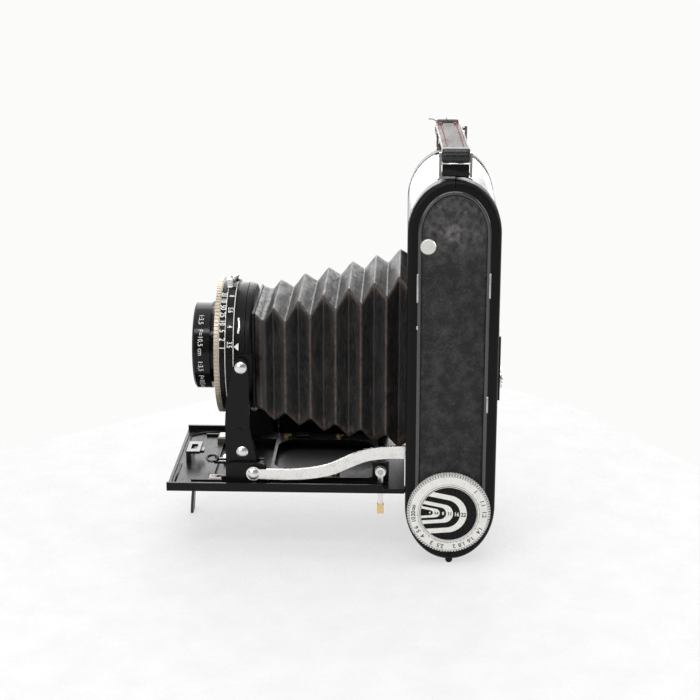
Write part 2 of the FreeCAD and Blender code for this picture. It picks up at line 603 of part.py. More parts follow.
def strut_rivets():
    return mirrored(rivet(STRUT_PIVOT_Y, STRUT_PIVOT_Z, STRUT_OUT, 31.3, 2.4))


# ---------------------------------------------------------------- lens board, shutter and lens
def lens_board():
    disc = cyl_y(0, 0, 27.4, BOARD_FRONT_Y, BOARD_REAR_Y)
    disc = disc.makeFillet(1.6, [e for e in disc.Edges if abs(e.CenterOfMass.y - BOARD_REAR_Y) < 0.01])
    cheeks = [box(*sorted((s * 20.0, s * CHEEK_X)), CHEEK_FRONT_Y, BOARD_REAR_Y, -6.0, 4.0) for s in (-1, 1)]
    room = cyl_y(0, 0, SHUTTER_R + 0.1, -90, BOARD_FRONT_Y)
    board = fuse([disc] + [c.cut(room) for c in cheeks])
    board = board.cut(cyl_y(0, 0, 13.7, -90, -50))
    return board.cut(cyl_x(PIVOT_Y, PIVOT_HIGH_Z, RIVET_HOLE_R, 26.4, 40)).cut(
        cyl_x(PIVOT_Y, PIVOT_HIGH_Z, RIVET_HOLE_R, -40, -26.4))


def bellows_frame():
    plate = box(-24.5, 24.5, BOARD_REAR_Y, BELLOWS_FRONT_Y - 0.1, -21, 21)
    return plate.cut(cyl_y(0, 0, 15, -90, -50))


def shutter_housing():
    drum = cyl_y(0, 0, SHUTTER_R, SHUTTER_FRONT_Y, SHUTTER_REAR_Y)
    drum = drum.cut(cyl_y(0, 0, 25.5, SHUTTER_FRONT_Y + SHUTTER_WALL, SHUTTER_REAR_Y - SHUTTER_WALL))
    front_hole = cyl_y(0, 0, LENS_BORE_R, -90, SHUTTER_FRONT_Y + SHUTTER_WALL + 0.1)
    return drum.cut(front_hole).cut(cyl_y(0, 0, 12.1, -76, -60))


def aperture_band():
    return tube_y(RING_R, SHUTTER_R + 0.05, APERTURE_FRONT_Y, APERTURE_REAR_Y)


def speed_ring():
    """The turning ring: a number band behind a coin-edged grip."""
    band = tube_y(RING_R, SHUTTER_R + TURNING_FIT, GRIP_Y, SPEED_BAND_Y)
    teeth = 110
    grip = tube_y(KNURL_R, SHUTTER_R + TURNING_FIT, SHUTTER_FRONT_Y - 0.2, GRIP_Y)
    notches = []
    for i in range(teeth):
        notch = box(-0.28, 0.28, -90, GRIP_Y, KNURL_R - 0.35, KNURL_R + 1)
        notch.rotate(Vector(0, 0, 0), Vector(0, 1, 0), 360.0 * i / teeth)
        notches.append(notch)
    grip = grip.cut(Part.makeCompound(notches))
    return fuse([band, grip])


def on_rim(shape, degrees):
    """Turns a shape made above the axis round to an angle from the top, towards +X."""
    turned = shape.copy()
    turned.rotate(Vector(0, 0, 0), Vector(0, 1, 0), degrees)
    return turned


def cocking_lever():
    """A bright pointed lever that rides over the number bands."""
    y0, y1 = -76.7, -74.5
    inner_r = RING_R + 0.1
    sector = tube_y(inner_r + 0.6, inner_r, y0, y1).common(box(-2.6, 2.6, -90, -60, 20, 40))
    outline = [Vector(-2.4, y0, 29.0), Vector(2.4, y0, 29.0), Vector(0.6, y0, 32.2), Vector(-0.6, y0, 32.2)]
    tip = Part.Face(Part.makePolygon(outline + outline[:1])).extrude(Vector(0, y1 - y0, 0))
    tip = tip.cut(cyl_y(0, 0, inner_r, -90, -60))
    return on_rim(fuse([sector, tip]), COCKING_ANGLE)


def lens_barrel():
    barrel = cyl_y(0, 0, LENS_R, LENS_FRONT_Y, SHUTTER_FRONT_Y - 0.05)
    barrel = barrel.makeChamfer(0.8, [e for e in barrel.Edges if abs(e.CenterOfMass.y - LENS_FRONT_Y) < 0.01])
    bore = cyl_y(0, 0, LENS_BORE_R, -100, -80)
    mouth = Part.makeCone(17.6, LENS_BORE_R, 1.8, Vector(0, LENS_FRONT_Y, 0), Vector(0, 1, 0))
    groove = tube_y(LENS_R + 1, NECK_R, LENS_REAR_Y, SHUTTER_FRONT_Y)
    return barrel.cut(bore).cut(mouth).cut(groove)


def lens_disc(radius, y_front, y_back, front_curve, back_curve):
    """A glass element with spherical faces; each curve is its radius, and the front bulges towards -Y."""
    def sag(r, curve):
        return curve - math.sqrt(curve * curve - r * r)

    def edge(y, curve, sign):
        middle = Vector(radius / 2, y + sign * sag(radius / 2, curve), 0)
        return Part.Arc(Vector(0, y, 0), middle, Vector(radius, y + sign * sag(radius, curve), 0)).toShape()

    front, back = edge(y_front, front_curve, 1), edge(y_back, back_curve, -1)
    rim = Part.makeLine(Vector(radius, y_front + sag(radius, front_curve), 0),
                        Vector(radius, y_back - sag(radius, back_curve), 0))
    axis = Part.makeLine(Vector(0, y_back, 0), Vector(0, y_front, 0))
    profile = Part.Face(Part.Wire(Part.__sortEdges__([front, rim, back, axis])))
    return profile.revolve(Vector(0, 0, 0), Vector(0, 1, 0), 360)


def front_element():
    return lens_disc(15.1, -89.9, -84.6, 34, 90)


def middle_element():
    return lens_disc(15.0, -80.6, -77.4, 300, 110)


def rear_element():
    return lens_disc(11.5, -68.8, -64.8, 60, 40)


def rear_cell():
    cell = tube_y(13.5, 11.6, SHUTTER_REAR_Y + 0.05, REAR_CELL_Y)
    flange = tube_y(12.05, 11.6, SHUTTER_REAR_Y - 1.2, SHUTTER_REAR_Y + 0.05)
    return fuse([cell, flange])


def blade_set(y0, thickness, inner, outer, count, overlap):
    """A rosette of thin blades, each a ring sector on its own layer."""
    blades = []
    for i in range(count):
        y = y0 + i * (thickness + 0.05)
        wedge = tube_y(outer, inner, y, y + thickness)
        half = math.radians(180 / count + overlap)
        reach = 60
        side = Vector(reach * math.sin(half), 0, reach * math.cos(half))
        mask = Part.Face(Part.makePolygon([Vector(0, y - 1, 0), Vector(side.x, y - 1, side.z),
                                           Vector(-side.x, y - 1, side.z), Vector(0, y - 1, 0)]))
        blade = wedge.common(mask.extrude(Vector(0, 3, 0)))
        blade.rotate(Vector(0, 0, 0), Vector(0, 1, 0), 360.0 * i / count)
        blades.append(blade)
    return Part.makeCompound(blades)


def shutter_blades():
    return blade_set(-76.6, 0.12, 1.0, 20, 5, 6)


def iris_blades():
    return blade_set(-74.9, 0.1, 8.0, 20, 8, 8)


# ---------------------------------------------------------------- outside fittings
def focus_dial():
    ring = toothed_disc(DIAL_R, 0.45, 90, DIAL_IN, DIAL_OUT - 0.5, DIAL_Y, DIAL_Z)
    step = cyl_x(DIAL_Y, DIAL_Z, DIAL_R - 0.7, DIAL_OUT - 0.5, DIAL_OUT - 0.2)
    hub = cyl_x(DIAL_Y, DIAL_Z, 2.5, 36.6, DIAL_IN)
    return fuse([ring, step, hub]).cut(cyl_x(DIAL_Y, DIAL_Z, 12.3, DIAL_OUT - 1.2, 50)).cut(
        cyl_x(DIAL_Y, DIAL_Z, 1.3, 30, 50))


def depth_disc():
    disc = cyl_x(DIAL_Y, DIAL_Z, 12.1, DIAL_OUT - 1.1, DIAL_OUT)
    return fuse([disc, cyl_x(DIAL_Y, DIAL_Z, 1.2, 35.5, DIAL_OUT - 1.1)])


def release_button():
    button = cyl_x(BUTTON_Y, BUTTON_Z, BUTTON_R, PLATE_IN - 1.5, PLATE_OUT + LEATHER + 1.6)
    outer = [e for e in button.Edges if abs(e.CenterOfMass.x - (PLATE_OUT + LEATHER + 1.6)) < 0.01]
    return button.makeChamfer(0.35, outer)


def back_catch():
    """The catch on top that holds the back shut."""
    return box(-8, 8, BODY_MID_Y - 2.6, BODY_MID_Y - SEAM, BODY_TOP + 0.02, BODY_TOP + 1.4)


def strap_foot_room():
    return mirrored(box(27.0, 39.0, BODY_MID_Y - 7.2, BODY_MID_Y + 7.2, BODY_TOP - 6, BODY_TOP + 20))


def strap_posts():
    """Bent brackets on the body's half of the top that carry the strap loops."""
    y0, y1 = BODY_MID_Y - 6.7, BODY_MID_Y + 6.7
    front_y = BODY_MID_Y - SEAM - 0.05
    x0, x1 = STRAP_BAR_X - 1.3, STRAP_BAR_X + 1.3
    z0 = BODY_TOP + 0.1
    post_top = STRAP_BAR_Z + 1.2
    base = box(28.5, 37.0, y0, front_y, z0, z0 + 0.9)
    riser = box(x0, x1, y0, front_y, z0 + 0.9, z0 + 1.2)
    bridge = box(x0, x1, y0, y1, z0 + 1.2, z0 + 2.2)
    posts = [box(x0, x1, y0, y0 + 1.0, z0, post_top), box(x0, x1, y1 - 1.0, y1, z0 + 0.3, post_top)]
    bar = cyl_y(STRAP_BAR_X, STRAP_BAR_Z, STRAP_BAR_R, y0, y1)
    return mirrored(fuse([base, riser, bridge, bar] + posts))


def carry_strap():
    """Leather strap: a slightly bowed run between two loops that pass round the bracket bars."""
    y0, y1 = BODY_MID_Y - STRAP_HALF, BODY_MID_Y + STRAP_HALF
    crown = STRAP_BAR_Z + STRAP_LOOP_R
    left, right = Vector(-STRAP_BAR_X, y0, crown), Vector(STRAP_BAR_X, y0, crown)
    arc = Part.Arc(left, Vector(0, y0, crown + STRAP_BOW), right).toShape()
    bow = Part.Face(Part.Wire(Part.__sortEdges__([arc, Part.makeLine(right, left)])))
    strap = [box(-STRAP_BAR_X, STRAP_BAR_X, y0, y1, crown - 2.2, crown), bow.extrude(Vector(0, y1 - y0, 0))]
    for side in (-1, 1):
        strap.append(cyl_y(side * STRAP_BAR_X, STRAP_BAR_Z, STRAP_LOOP_R, y0, y1))
    strap = fuse(strap)
    for side in (-1, 1):
        strap = strap.cut(cyl_y(side * STRAP_BAR_X, STRAP_BAR_Z, STRAP_BAR_R + 0.15, y0 - 1, y1 + 1))
    return strap


def finder_housing():
    hood = box(FINDER_OUT_X, -PLATE_OUT, 6, 32, -26, 26)
    hood = hood.makeFillet(3, [e for e in hood.Edges if e.CenterOfMass.x < FINDER_OUT_X + 3])
    tunnel = box(-49.5, -41.5, 0, 40, -6, 6)
    side_window = cyl_y(-45.5, 19, 3.2, 0, 9)
    return hood.cut(tunnel).cut(side_window)


def finder_lens():
    return box(-49.4, -41.6, 7.0, 8.4, -5.9, 5.9)


def finder_eyepiece():
    return box(-49.4, -41.6, 29.6, 31.0, -5.9, 5.9)


def range_window():
    return cyl_y(-45.5, 19, 3.1, 7.0, 8.2)


# ---------------------------------------------------------------- write every node
def group(*shapes):
    """Separate solids that share one node."""
    return Part.makeCompound(list(shapes))


NODES = {
    "front_shell": front_shell(),
    "back_door": back_door(),
    "front_leather": front_leather(),
    "back_leather": back_leather(),
    "end_plates": group(end_plate(1), end_plate(-1)),
    "end_leathers": group(end_leather(1), end_leather(-1)),
    "hinge_pins": group(back_hinge_pin(), bed_hinge_pin()),
    "back_catch": back_catch(),
    "film_gate": film_gate(),
    "film_rollers": film_rollers(),
    "supply_spool": spool(-SPOOL_Z),
    "take_up_spool": spool(SPOOL_Z),
    "spool_pins": spool_pins(),
    "winding_shaft": winding_shaft(),
    "winding_knob": winding_knob(),
    "pressure_plate": pressure_plate(),
    "pressure_springs": pressure_springs(),
    "window_frame": group(window_ring(), window_rails()),
    "window_glass": window_glass(),
    "window_cover": window_cover(),
    "bellows": bellows(),
    "bellows_frame": bellows_frame(),
    "bed_plate": bed_plate(),
    "tripod_bush": tripod_bush(),
    "bed_brackets": group(bed_rails(), strut_brackets()),
    "bed_catch": bed_catch(),
    "distance_stops": group(distance_stop(), far_stop()),
    "release_link": release_link(),
    "trigger_bracket": trigger_bracket(),
    "trigger_hub": trigger_hub(),
    "trigger_lever": trigger_lever(),
    "trigger_tip": trigger_tip(),
    "bed_foot": bed_foot(),
    "foot_hinge": foot_hinge(),
    "carriage": carriage(),
    "carriage_plate": group(carriage_plate(), carriage_tabs()),
    "brass_screws": brass_screws(),
    "uprights": uprights(),
    "upright_rivets": upright_rivets(),
    "board_rivets": board_rivets(),
    "struts": struts(),
    "strut_rivets": strut_rivets(),
    "lens_board": lens_board(),
    "shutter_housing": shutter_housing(),
    "aperture_band": aperture_band(),
    "speed_ring": speed_ring(),
    "cocking_lever": cocking_lever(),
    "lens_barrel": lens_barrel(),
    "front_element": front_element(),
    "inner_elements": group(middle_element(), rear_element()),
    "rear_cell": rear_cell(),
    "shutter_blades": shutter_blades(),
    "iris_blades": iris_blades(),
    "focus_dial": focus_dial(),
    "depth_disc": depth_disc(),
    "release_button": release_button(),
    "strap_posts": strap_posts(),
    "carry_strap": carry_strap(),
    "finder_housing": finder_housing(),
    "finder_glasses": group(finder_lens(), finder_eyepiece(), range_window()),
}
for node, solid in NODES.items():
    save(node, solid)
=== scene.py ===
"""Looks for the folding camera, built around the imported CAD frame.

The row frame is in metres with +Z up and the lens looking along -Y. The builders below work in millimetres from
the optical axis at the body's front face, and at() turns such a place into the row frame.
"""
import json
import math
import random

import bmesh
import bpy
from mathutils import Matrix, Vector, noise


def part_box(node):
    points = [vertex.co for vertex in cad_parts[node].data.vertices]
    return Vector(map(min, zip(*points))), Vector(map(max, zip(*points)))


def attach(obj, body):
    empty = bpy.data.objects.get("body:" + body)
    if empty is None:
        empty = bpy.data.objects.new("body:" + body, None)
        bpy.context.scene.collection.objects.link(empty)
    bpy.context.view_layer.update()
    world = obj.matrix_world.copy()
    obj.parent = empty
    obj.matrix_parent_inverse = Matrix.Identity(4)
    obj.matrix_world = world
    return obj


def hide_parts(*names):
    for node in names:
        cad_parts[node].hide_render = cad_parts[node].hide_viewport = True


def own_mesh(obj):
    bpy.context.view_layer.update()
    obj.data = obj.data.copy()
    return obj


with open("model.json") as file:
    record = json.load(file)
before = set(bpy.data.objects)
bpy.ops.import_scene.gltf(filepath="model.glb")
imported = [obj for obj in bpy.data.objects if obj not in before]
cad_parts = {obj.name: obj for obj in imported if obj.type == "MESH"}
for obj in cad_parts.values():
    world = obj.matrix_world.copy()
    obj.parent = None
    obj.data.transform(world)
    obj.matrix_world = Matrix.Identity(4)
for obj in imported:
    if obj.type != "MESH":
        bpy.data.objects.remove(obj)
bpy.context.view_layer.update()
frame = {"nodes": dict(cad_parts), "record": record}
NODES = frame["nodes"]
MM = 0.001


# ---------------------------------------------------------------- places taken from the frame
def middle(node):
    low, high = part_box(node)
    return (low + high) / 2


LENS = middle("lens_barrel")
ORIGIN = Vector((LENS.x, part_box("front_shell")[0].y, LENS.z))


def at(x, y, z):
    """A place in millimetres from the optical axis at the body's front face, in the row frame."""
    return ORIGIN + Vector((x, y, z)) * MM


def local(node):
    """A node's box in the same millimetres as at()."""
    low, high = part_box(node)
    return (low - ORIGIN) / MM, (high - ORIGIN) / MM


# ---------------------------------------------------------------- mesh helpers
def mesh_object(name, vertices, faces, smooth=True):
    """Vertices are in millimetres, as at() takes them."""
    mesh = bpy.data.meshes.new(name)
    mesh.from_pydata([at(*v) for v in vertices], [], faces)
    mesh.update()
    tidy = bmesh.new()
    tidy.from_mesh(mesh)
    bmesh.ops.remove_doubles(tidy, verts=tidy.verts, dist=1e-7)
    bmesh.ops.recalc_face_normals(tidy, faces=tidy.faces)
    tidy.to_mesh(mesh)
    tidy.free()
    for polygon in mesh.polygons:
        polygon.use_smooth = smooth
    obj = bpy.data.objects.new(name, mesh)
    bpy.context.scene.collection.objects.link(obj)
    return obj


def piece(obj, body, slot, mat, *stands_for):
    obj.data.materials.append(mat)
    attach(obj, body)
    if stands_for:
        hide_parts(*stands_for)
    return obj


def sweep(rings, closed=False):
    """Skins a list of equally long rings of points. Open sweeps get end caps."""
    count = len(rings[0])
    vertices = [p for ring in rings for p in ring]
    faces = []
    steps = len(rings) if closed else len(rings) - 1
    for i in range(steps):
        j = (i + 1) % len(rings)
        for k in range(count):
            n = (k + 1) % count
            faces.append((i * count + k, i * count + n, j * count + n, j * count + k))
    if not closed:
        faces.append(tuple(range(count)))
        faces.append(tuple((len(rings) - 1) * count + k for k in reversed(range(count))))
    return vertices, faces


def join(parts):
    """Several (vertices, faces) pairs as one."""
    vertices, faces = [], []
    for more_vertices, more_faces in parts:
        start = len(vertices)
        vertices += more_vertices
        faces += [tuple(start + i for i in f) for f in more_faces]
    return vertices, faces


def tube(points, radius, sides=10, closed=False):
    """A round bar along a path of points."""
    rings = []
    total = len(points)
    for i, p in enumerate(points):
        before = Vector(points[(i - 1) % total] if closed or i else points[0])
        after = Vector(points[(i + 1) % total] if closed or i < total - 1 else points[-1])
        along = (after - before).normalized()
        side = along.cross(Vector((1, 0, 0)))
        if side.length < 0.2:
            side = along.cross(Vector((0, 1, 0)))
        side.normalize()
        up = side.cross(along)
        ring = []
        for k in range(sides):
            turn = 2 * math.pi * k / sides
            ring.append(Vector(p) + side * (radius * math.cos(turn)) + up * (radius * math.sin(turn)))
        rings.append(ring)
    return sweep(rings, closed)


def text_mesh(text, size, place, bold=0.0):
    """Figures as thin solids. place(u, v, w) maps the flat text (u along, v up, w out) to a point."""
    curve = bpy.data.curves.new("figures", "FONT")
    curve.body = text
    curve.size = size
    curve.align_x, curve.align_y = "CENTER", "CENTER"
    curve.extrude = 0.02
    curve.offset = bold
    curve.resolution_u = 3
    holder = bpy.data.objects.new("figures", curve)
    bpy.context.scene.collection.objects.link(holder)
    bpy.context.view_layer.update()
    mesh = holder.to_mesh()
    vertices = [place(*v.co) for v in mesh.vertices]
    faces = [tuple(p.vertices) for p in mesh.polygons]
    holder.to_mesh_clear()
    bpy.data.objects.remove(holder)
    return vertices, faces


# ---------------------------------------------------------------- material helpers
class Tree:
    """A small wrapper that adds shader nodes and links them."""

    def __init__(self, name):
        self.material = bpy.data.materials.new(name)
        self.material.use_nodes = True
        self.tree = self.material.node_tree
        self.tree.nodes.clear()
        self.out = self.tree.nodes.new("ShaderNodeOutputMaterial")
        coords = self.add("ShaderNodeTexCoord")
        self.mm = self.add("ShaderNodeVectorMath", {0: coords.outputs["Object"], 3: 1000.0},
                           operation="SCALE").outputs[0]

    def add(self, kind, inputs=None, **props):
        made = self.tree.nodes.new(kind)
        for key, value in props.items():
            setattr(made, key, value)
        for key, value in (inputs or {}).items():
            if isinstance(value, bpy.types.NodeSocket):
                self.tree.links.new(value, made.inputs[key])
            else:
                made.inputs[key].default_value = value
        return made

    def noise(self, scale, detail=4.0, stretch=None, roughness=0.55):
        """Noise whose grains are about 1/scale millimetres."""
        vector = self.mm
        if stretch:
            vector = self.add("ShaderNodeVectorMath", {0: vector, 1: stretch}, operation="MULTIPLY").outputs[0]
        made = self.add("ShaderNodeTexNoise", {"Vector": vector, "Scale": scale, "Detail": detail,
                                               "Roughness": roughness})
        return made.outputs[0]

    def cells(self, scale, feature="F1"):
        made = self.add("ShaderNodeTexVoronoi", {"Vector": self.mm, "Scale": scale}, feature=feature)
        return made.outputs["Distance"]

    def span(self, value, low, high, to_low=0.0, to_high=1.0):
        made = self.add("ShaderNodeMapRange", {0: value, 1: low, 2: high, 3: to_low, 4: to_high})
        return made.outputs[0]

    def times(self, a, b):
        return self.add("ShaderNodeMath", {0: a, 1: b}, operation="MULTIPLY").outputs[0]

    def plus(self, a, b):
        return self.add("ShaderNodeMath", {0: a, 1: b}, operation="ADD").outputs[0]

    def mix(self, factor, a, b):
        made = self.add("ShaderNodeMix", {0: factor}, data_type="RGBA")
        for slot, value in ((6, a), (7, b)):
            if isinstance(value, bpy.types.NodeSocket):
                self.tree.links.new(value, made.inputs[slot])
            else:
                made.inputs[slot].default_value = (*value, 1.0)
        return made.outputs[2]

    def edges(self, radius):
        """1 along sharp edges and 0 elsewhere."""
        soft = self.add("ShaderNodeBevel", {"Radius": radius * MM}, samples=3)
        hard = self.add("ShaderNodeNewGeometry")
        same = self.add("ShaderNodeVectorMath", {0: soft.outputs[0], 1: hard.outputs["Normal"]},
                        operation="DOT_PRODUCT").outputs["Value"]
        return self.span(same, 0.98, 0.86)

    def attribute(self, name):
        return self.add("ShaderNodeAttribute", attribute_name=name).outputs["Fac"]

    def finish(self, color, rough, metallic=0.0, height=None, depth=0.05, coat=0.0, bevel=0.0, **more):
        inputs = {"Roughness": rough, "Metallic": metallic, "Coat Weight": coat, "Coat Roughness": 0.12}
        inputs["Base Color"] = color if isinstance(color, bpy.types.NodeSocket) else (*color, 1.0)
        inputs.update({k.replace("_", " "): v for k, v in more.items()})
        normal = None
        if bevel:
            normal = self.add("ShaderNodeBevel", {"Radius": bevel * MM}, samples=4).outputs[0]
        if height is not None:
            bump_inputs = {"Height": height, "Distance": depth * MM, "Strength": 1.0}
            if normal is not None:
                bump_inputs["Normal"] = normal
            normal = self.add("ShaderNodeBump", bump_inputs).outputs[0]
        if normal is not None:
            inputs["Normal"] = normal
        shader = self.add("ShaderNodeBsdfPrincipled", inputs)
        self.tree.links.new(shader.outputs[0], self.out.inputs[0])
        return self.material


# ---------------------------------------------------------------- materials
def lacquer(name, shade, rough, worn=0.3, shine=0.3):
    """Black enamel: a slightly wavy gloss with dust, fine scratches and rubbed edges."""
    t = Tree(name)
    dust = t.span(t.noise(0.9, 6), 0.48, 0.72)
    scratches = t.span(t.noise(2.4, 3, (1.0, 0.08, 1.0)), 0.62, 0.7)
    rubbed = t.times(t.edges(0.3), t.span(t.noise(0.7, 5), 0.5, 0.7, 0.0, worn))
    base = t.mix(t.times(dust, 0.5), (shade, shade, shade * 1.03), (shade * 2.2, shade * 2.1, shade * 2.0))
    color = t.mix(rubbed, base, (0.16, 0.14, 0.12))
    roughness = t.plus(t.span(dust, 0, 1, rough, rough + 0.15), t.times(scratches, 0.08))
    return t.finish(color, roughness, t.times(rubbed, 0.6), t.noise(0.25, 2), 0.03, 0.0, 0.18,
                    Specular_IOR_Level=shine)


def grained_leather(name, shade, grain=1.6, depth=0.16, coat=0.0):
    """Fine leathercloth with pebbles, scuffs and greyed high spots. Pale crinkles follow the wear_and_highlight
    attribute, which on the near end face is a painted highlight round the top blister.
    """
    t = Tree(name)
    pebbles = t.span(t.cells(grain), 0.0, 0.75, 1.0, 0.0)
    fine = t.noise(3.0, 6)
    wrinkles = t.noise(0.55, 7, roughness=0.68)
    scuffs = t.span(t.noise(0.2, 9, roughness=0.75), 0.44, 0.62)
    flecks = t.span(t.noise(1.3, 5), 0.54, 0.68)
    base = t.mix(scuffs, (shade * 0.7, shade * 0.68, shade * 0.66), (shade * 3.0, shade * 2.9, shade * 3.0))
    base = t.mix(t.times(t.times(flecks, scuffs), 0.7), base, (shade * 8, shade * 7.6, shade * 7.2))
    # Pale crinkles: round the top blister they are a painted highlight, near the top of the end face they are
    # paler leather.
    crinkle_highlight = t.times(t.attribute("wear_and_highlight"), t.span(wrinkles, 0.38, 0.56, 0.25, 1.0))
    base = t.mix(t.times(crinkle_highlight, 0.85), base, (0.17, 0.16, 0.16))
    rough = t.span(scuffs, 0, 1, 0.36, 0.52)
    height = t.plus(t.times(pebbles, 0.5), t.plus(t.times(fine, 0.5), t.times(wrinkles, 2.2)))
    return t.finish(base, rough, 0.0, height, depth, coat, 0.0, Specular_IOR_Level=0.3)


def bellows_leather():
    """Thin pleated leather: black panels, edges rubbed brown, grey dust and hairline creases."""
    t = Tree("bellows_leather")
    wear_and_highlight = t.attribute("wear_and_highlight")
    blotch = t.span(t.noise(0.5, 6, roughness=0.65), 0.4, 0.68)
    rubbed = t.times(wear_and_highlight, t.span(blotch, 0, 1, 0.15, 1.0))
    creases = t.span(t.noise(1.1, 5, (0.35, 2.2, 0.3)), 0.56, 0.66)
    black = t.mix(t.span(t.noise(0.13, 5), 0.4, 0.7), (0.004, 0.004, 0.004), (0.016, 0.014, 0.013))
    black = t.mix(t.times(creases, 0.3), black, (0.05, 0.042, 0.036))
    specks = t.span(t.noise(1.9, 2), 0.73, 0.78)
    black = t.mix(t.times(specks, 0.8), black, (0.2, 0.18, 0.16))
    color = t.mix(rubbed, black, (0.14, 0.085, 0.056))
    height = t.plus(t.times(t.noise(2.2, 6), 0.6), t.times(creases, 0.6))
    rough = t.span(blotch, 0, 1, 0.4, 0.6)
    return t.finish(color, rough, 0.0, height, 0.16, Specular_IOR_Level=0.55)


def plated(name, color, rough, stretch=None, depth=0.012, metallic=1.0):
    """Plated metal with wiping marks, spots and a bevelled highlight."""
    t = Tree(name)
    marks = t.noise(1.5, 5, stretch)
    stain = t.span(t.noise(0.35, 6), 0.5, 0.75)
    dull = tuple(c * 0.62 for c in color)
    base = t.mix(t.times(stain, 0.35), color, dull)
    roughness = t.plus(t.span(marks, 0.3, 0.7, rough, rough + 0.12), t.times(stain, 0.12))
    return t.finish(base, roughness, metallic, marks, depth, 0.0, 0.2)


def figures_paint(name, color):
    t = Tree(name)
    worn = t.span(t.noise(2.5, 5), 0.35, 0.6, 0.55, 1.0)
    shade = t.mix(worn, tuple(c * 0.5 for c in color), color)
    return t.finish(shade, 0.5, 0.0, t.noise(4.0, 3), 0.01)


def glass(name, tint, coating):
    """Lens glass with a faint coloured reflection."""
    t = Tree(name)
    smear = t.span(t.noise(0.4, 5), 0.45, 0.8, 0.01, 0.07)
    color = t.mix(t.span(t.noise(0.2, 2), 0.3, 0.7), tint, tuple(c * 0.96 for c in tint))
    return t.finish(color, smear, 0.0, None, 0.0, 0.6, 0.0, Transmission_Weight=0.92, IOR=1.55,
                    Coat_Tint=(*coating, 1.0))


def strap_leather():
    t = Tree("strap_leather")
    grain = t.cells(2.2)
    fade = t.span(t.noise(0.12, 5), 0.35, 0.7)
    color = t.mix(fade, (0.03, 0.027, 0.026), (0.075, 0.068, 0.062))
    color = t.mix(t.span(t.noise(1.2, 6), 0.56, 0.7), color, (0.17, 0.15, 0.135))
    height = t.plus(t.span(grain, 0, 0.6, 1, 0), t.noise(2.5, 5))
    return t.finish(color, t.span(fade, 0, 1, 0.45, 0.6), 0.0, height, 0.09, Specular_IOR_Level=0.3)


def floor_paper():
    """Pale paper that glows a little: painted light which lifts its shadows so they stay soft."""
    t = Tree("floor_paper")
    fibres = t.noise(0.35, 8, roughness=0.7)
    color = t.mix(t.span(t.noise(0.06, 6), 0.35, 0.65), (0.24, 0.24, 0.24), (0.27, 0.27, 0.27))
    # The emission is painted light on the paper.
    return t.finish(color, 0.9, 0.0, fibres, 0.6, Specular_IOR_Level=0.1, Emission_Color=(1.0, 1.0, 1.0, 1.0),
                    Emission_Strength=0.6)


LOOKS = {
    "black_lacquer": lacquer("black_lacquer", 0.005, 0.13, 0.3, 0.2),
    "black_satin": lacquer("black_satin", 0.006, 0.3, 0.2, 0.15),
    "body_leather": grained_leather("body_leather", 0.011, depth=0.3),
    "bellows_leather": bellows_leather(),
    "strap_leather": strap_leather(),
    "nickel": plated("nickel", (0.8, 0.79, 0.77), 0.2, (1.0, 0.15, 1.0), 0.0015),
    "steel": plated("steel", (0.55, 0.55, 0.54), 0.28, (0.2, 1.0, 1.0)),
    "dial_silver": plated("dial_silver", (0.82, 0.81, 0.775), 0.4, (1.0, 0.4, 0.4), 0.006, 0.35),
    "scale_black": lacquer("scale_black", 0.006, 0.25, 0.2, 0.12),
    "brass": plated("brass", (0.78, 0.58, 0.27), 0.22),
    "blackened_steel": plated("blackened_steel", (0.06, 0.06, 0.065), 0.3),
    "glass": glass("glass", (0.95, 0.97, 1.0), (0.75, 0.8, 1.0)),
    "red_glass": glass("red_glass", (0.5, 0.01, 0.01), (1.0, 0.6, 0.6)),
    "button_silver": plated("button_silver", (0.85, 0.85, 0.8), 0.3, (1.0, 0.12, 2.0), 0.03),
}
WHITE_PAINT = figures_paint("white_paint", (0.85, 0.84, 0.8))
BLACK_PAINT = figures_paint("black_paint", (0.02, 0.02, 0.02))
RED_THREAD = figures_paint("red_thread", (0.45, 0.05, 0.035))
BLACK_THREAD = figures_paint("black_thread", (0.012, 0.012, 0.012))
RAW_HIDE = figures_paint("raw_hide", (0.42, 0.37, 0.3))
BEAD_GLOSS = lacquer("bead_gloss", 0.02, 0.09, 0.5, 0.9)
ROLL_LEATHER = lacquer("roll_leather", 0.012, 0.22, 0.3, 0.35)
SHELL = lacquer("shell_lacquer", 0.005, 0.34, 0.35, 0.12)
BAND_LEATHER = grained_leather("band_leather", 0.014, depth=0.3, coat=0.8)
# Dark steel for the bed catch and release link: partly their own dark finish, partly painted shade of the bed.
DARK_SHADED_STEEL = plated("dark_shaded_steel", (0.1, 0.095, 0.09), 0.22)
OWN_LOOKS = {
    "speed_ring": plated("champagne", (0.5, 0.44, 0.35), 0.36, (1.0, 0.15, 1.0), 0.006, 0.8),
    "front_shell": SHELL,
    "shutter_housing": SHELL,
    "lens_board": SHELL,
    "back_door": SHELL,
    "front_leather": BAND_LEATHER,
    "back_leather": BAND_LEATHER,
    # Painted shade: the bed catch, release link and distance stops get darkened steel and nickel.
    "bed_catch": DARK_SHADED_STEEL,
    "release_link": DARK_SHADED_STEEL,
    "distance_stops": plated("shaded_nickel", (0.3, 0.28, 0.26), 0.35),
    "strap_posts": plated("strap_nickel", (0.36, 0.34, 0.32), 0.28),
}


def paint_cad_nodes():
    for part in frame["record"]["subparts"]:
        obj = NODES[part["node"]]
        look = OWN_LOOKS.get(part["node"], LOOKS[part["material_slot"]])
        if not obj.material_slots:
            obj.data.materials.append(look)
        for holder in obj.material_slots:
            holder.material = look


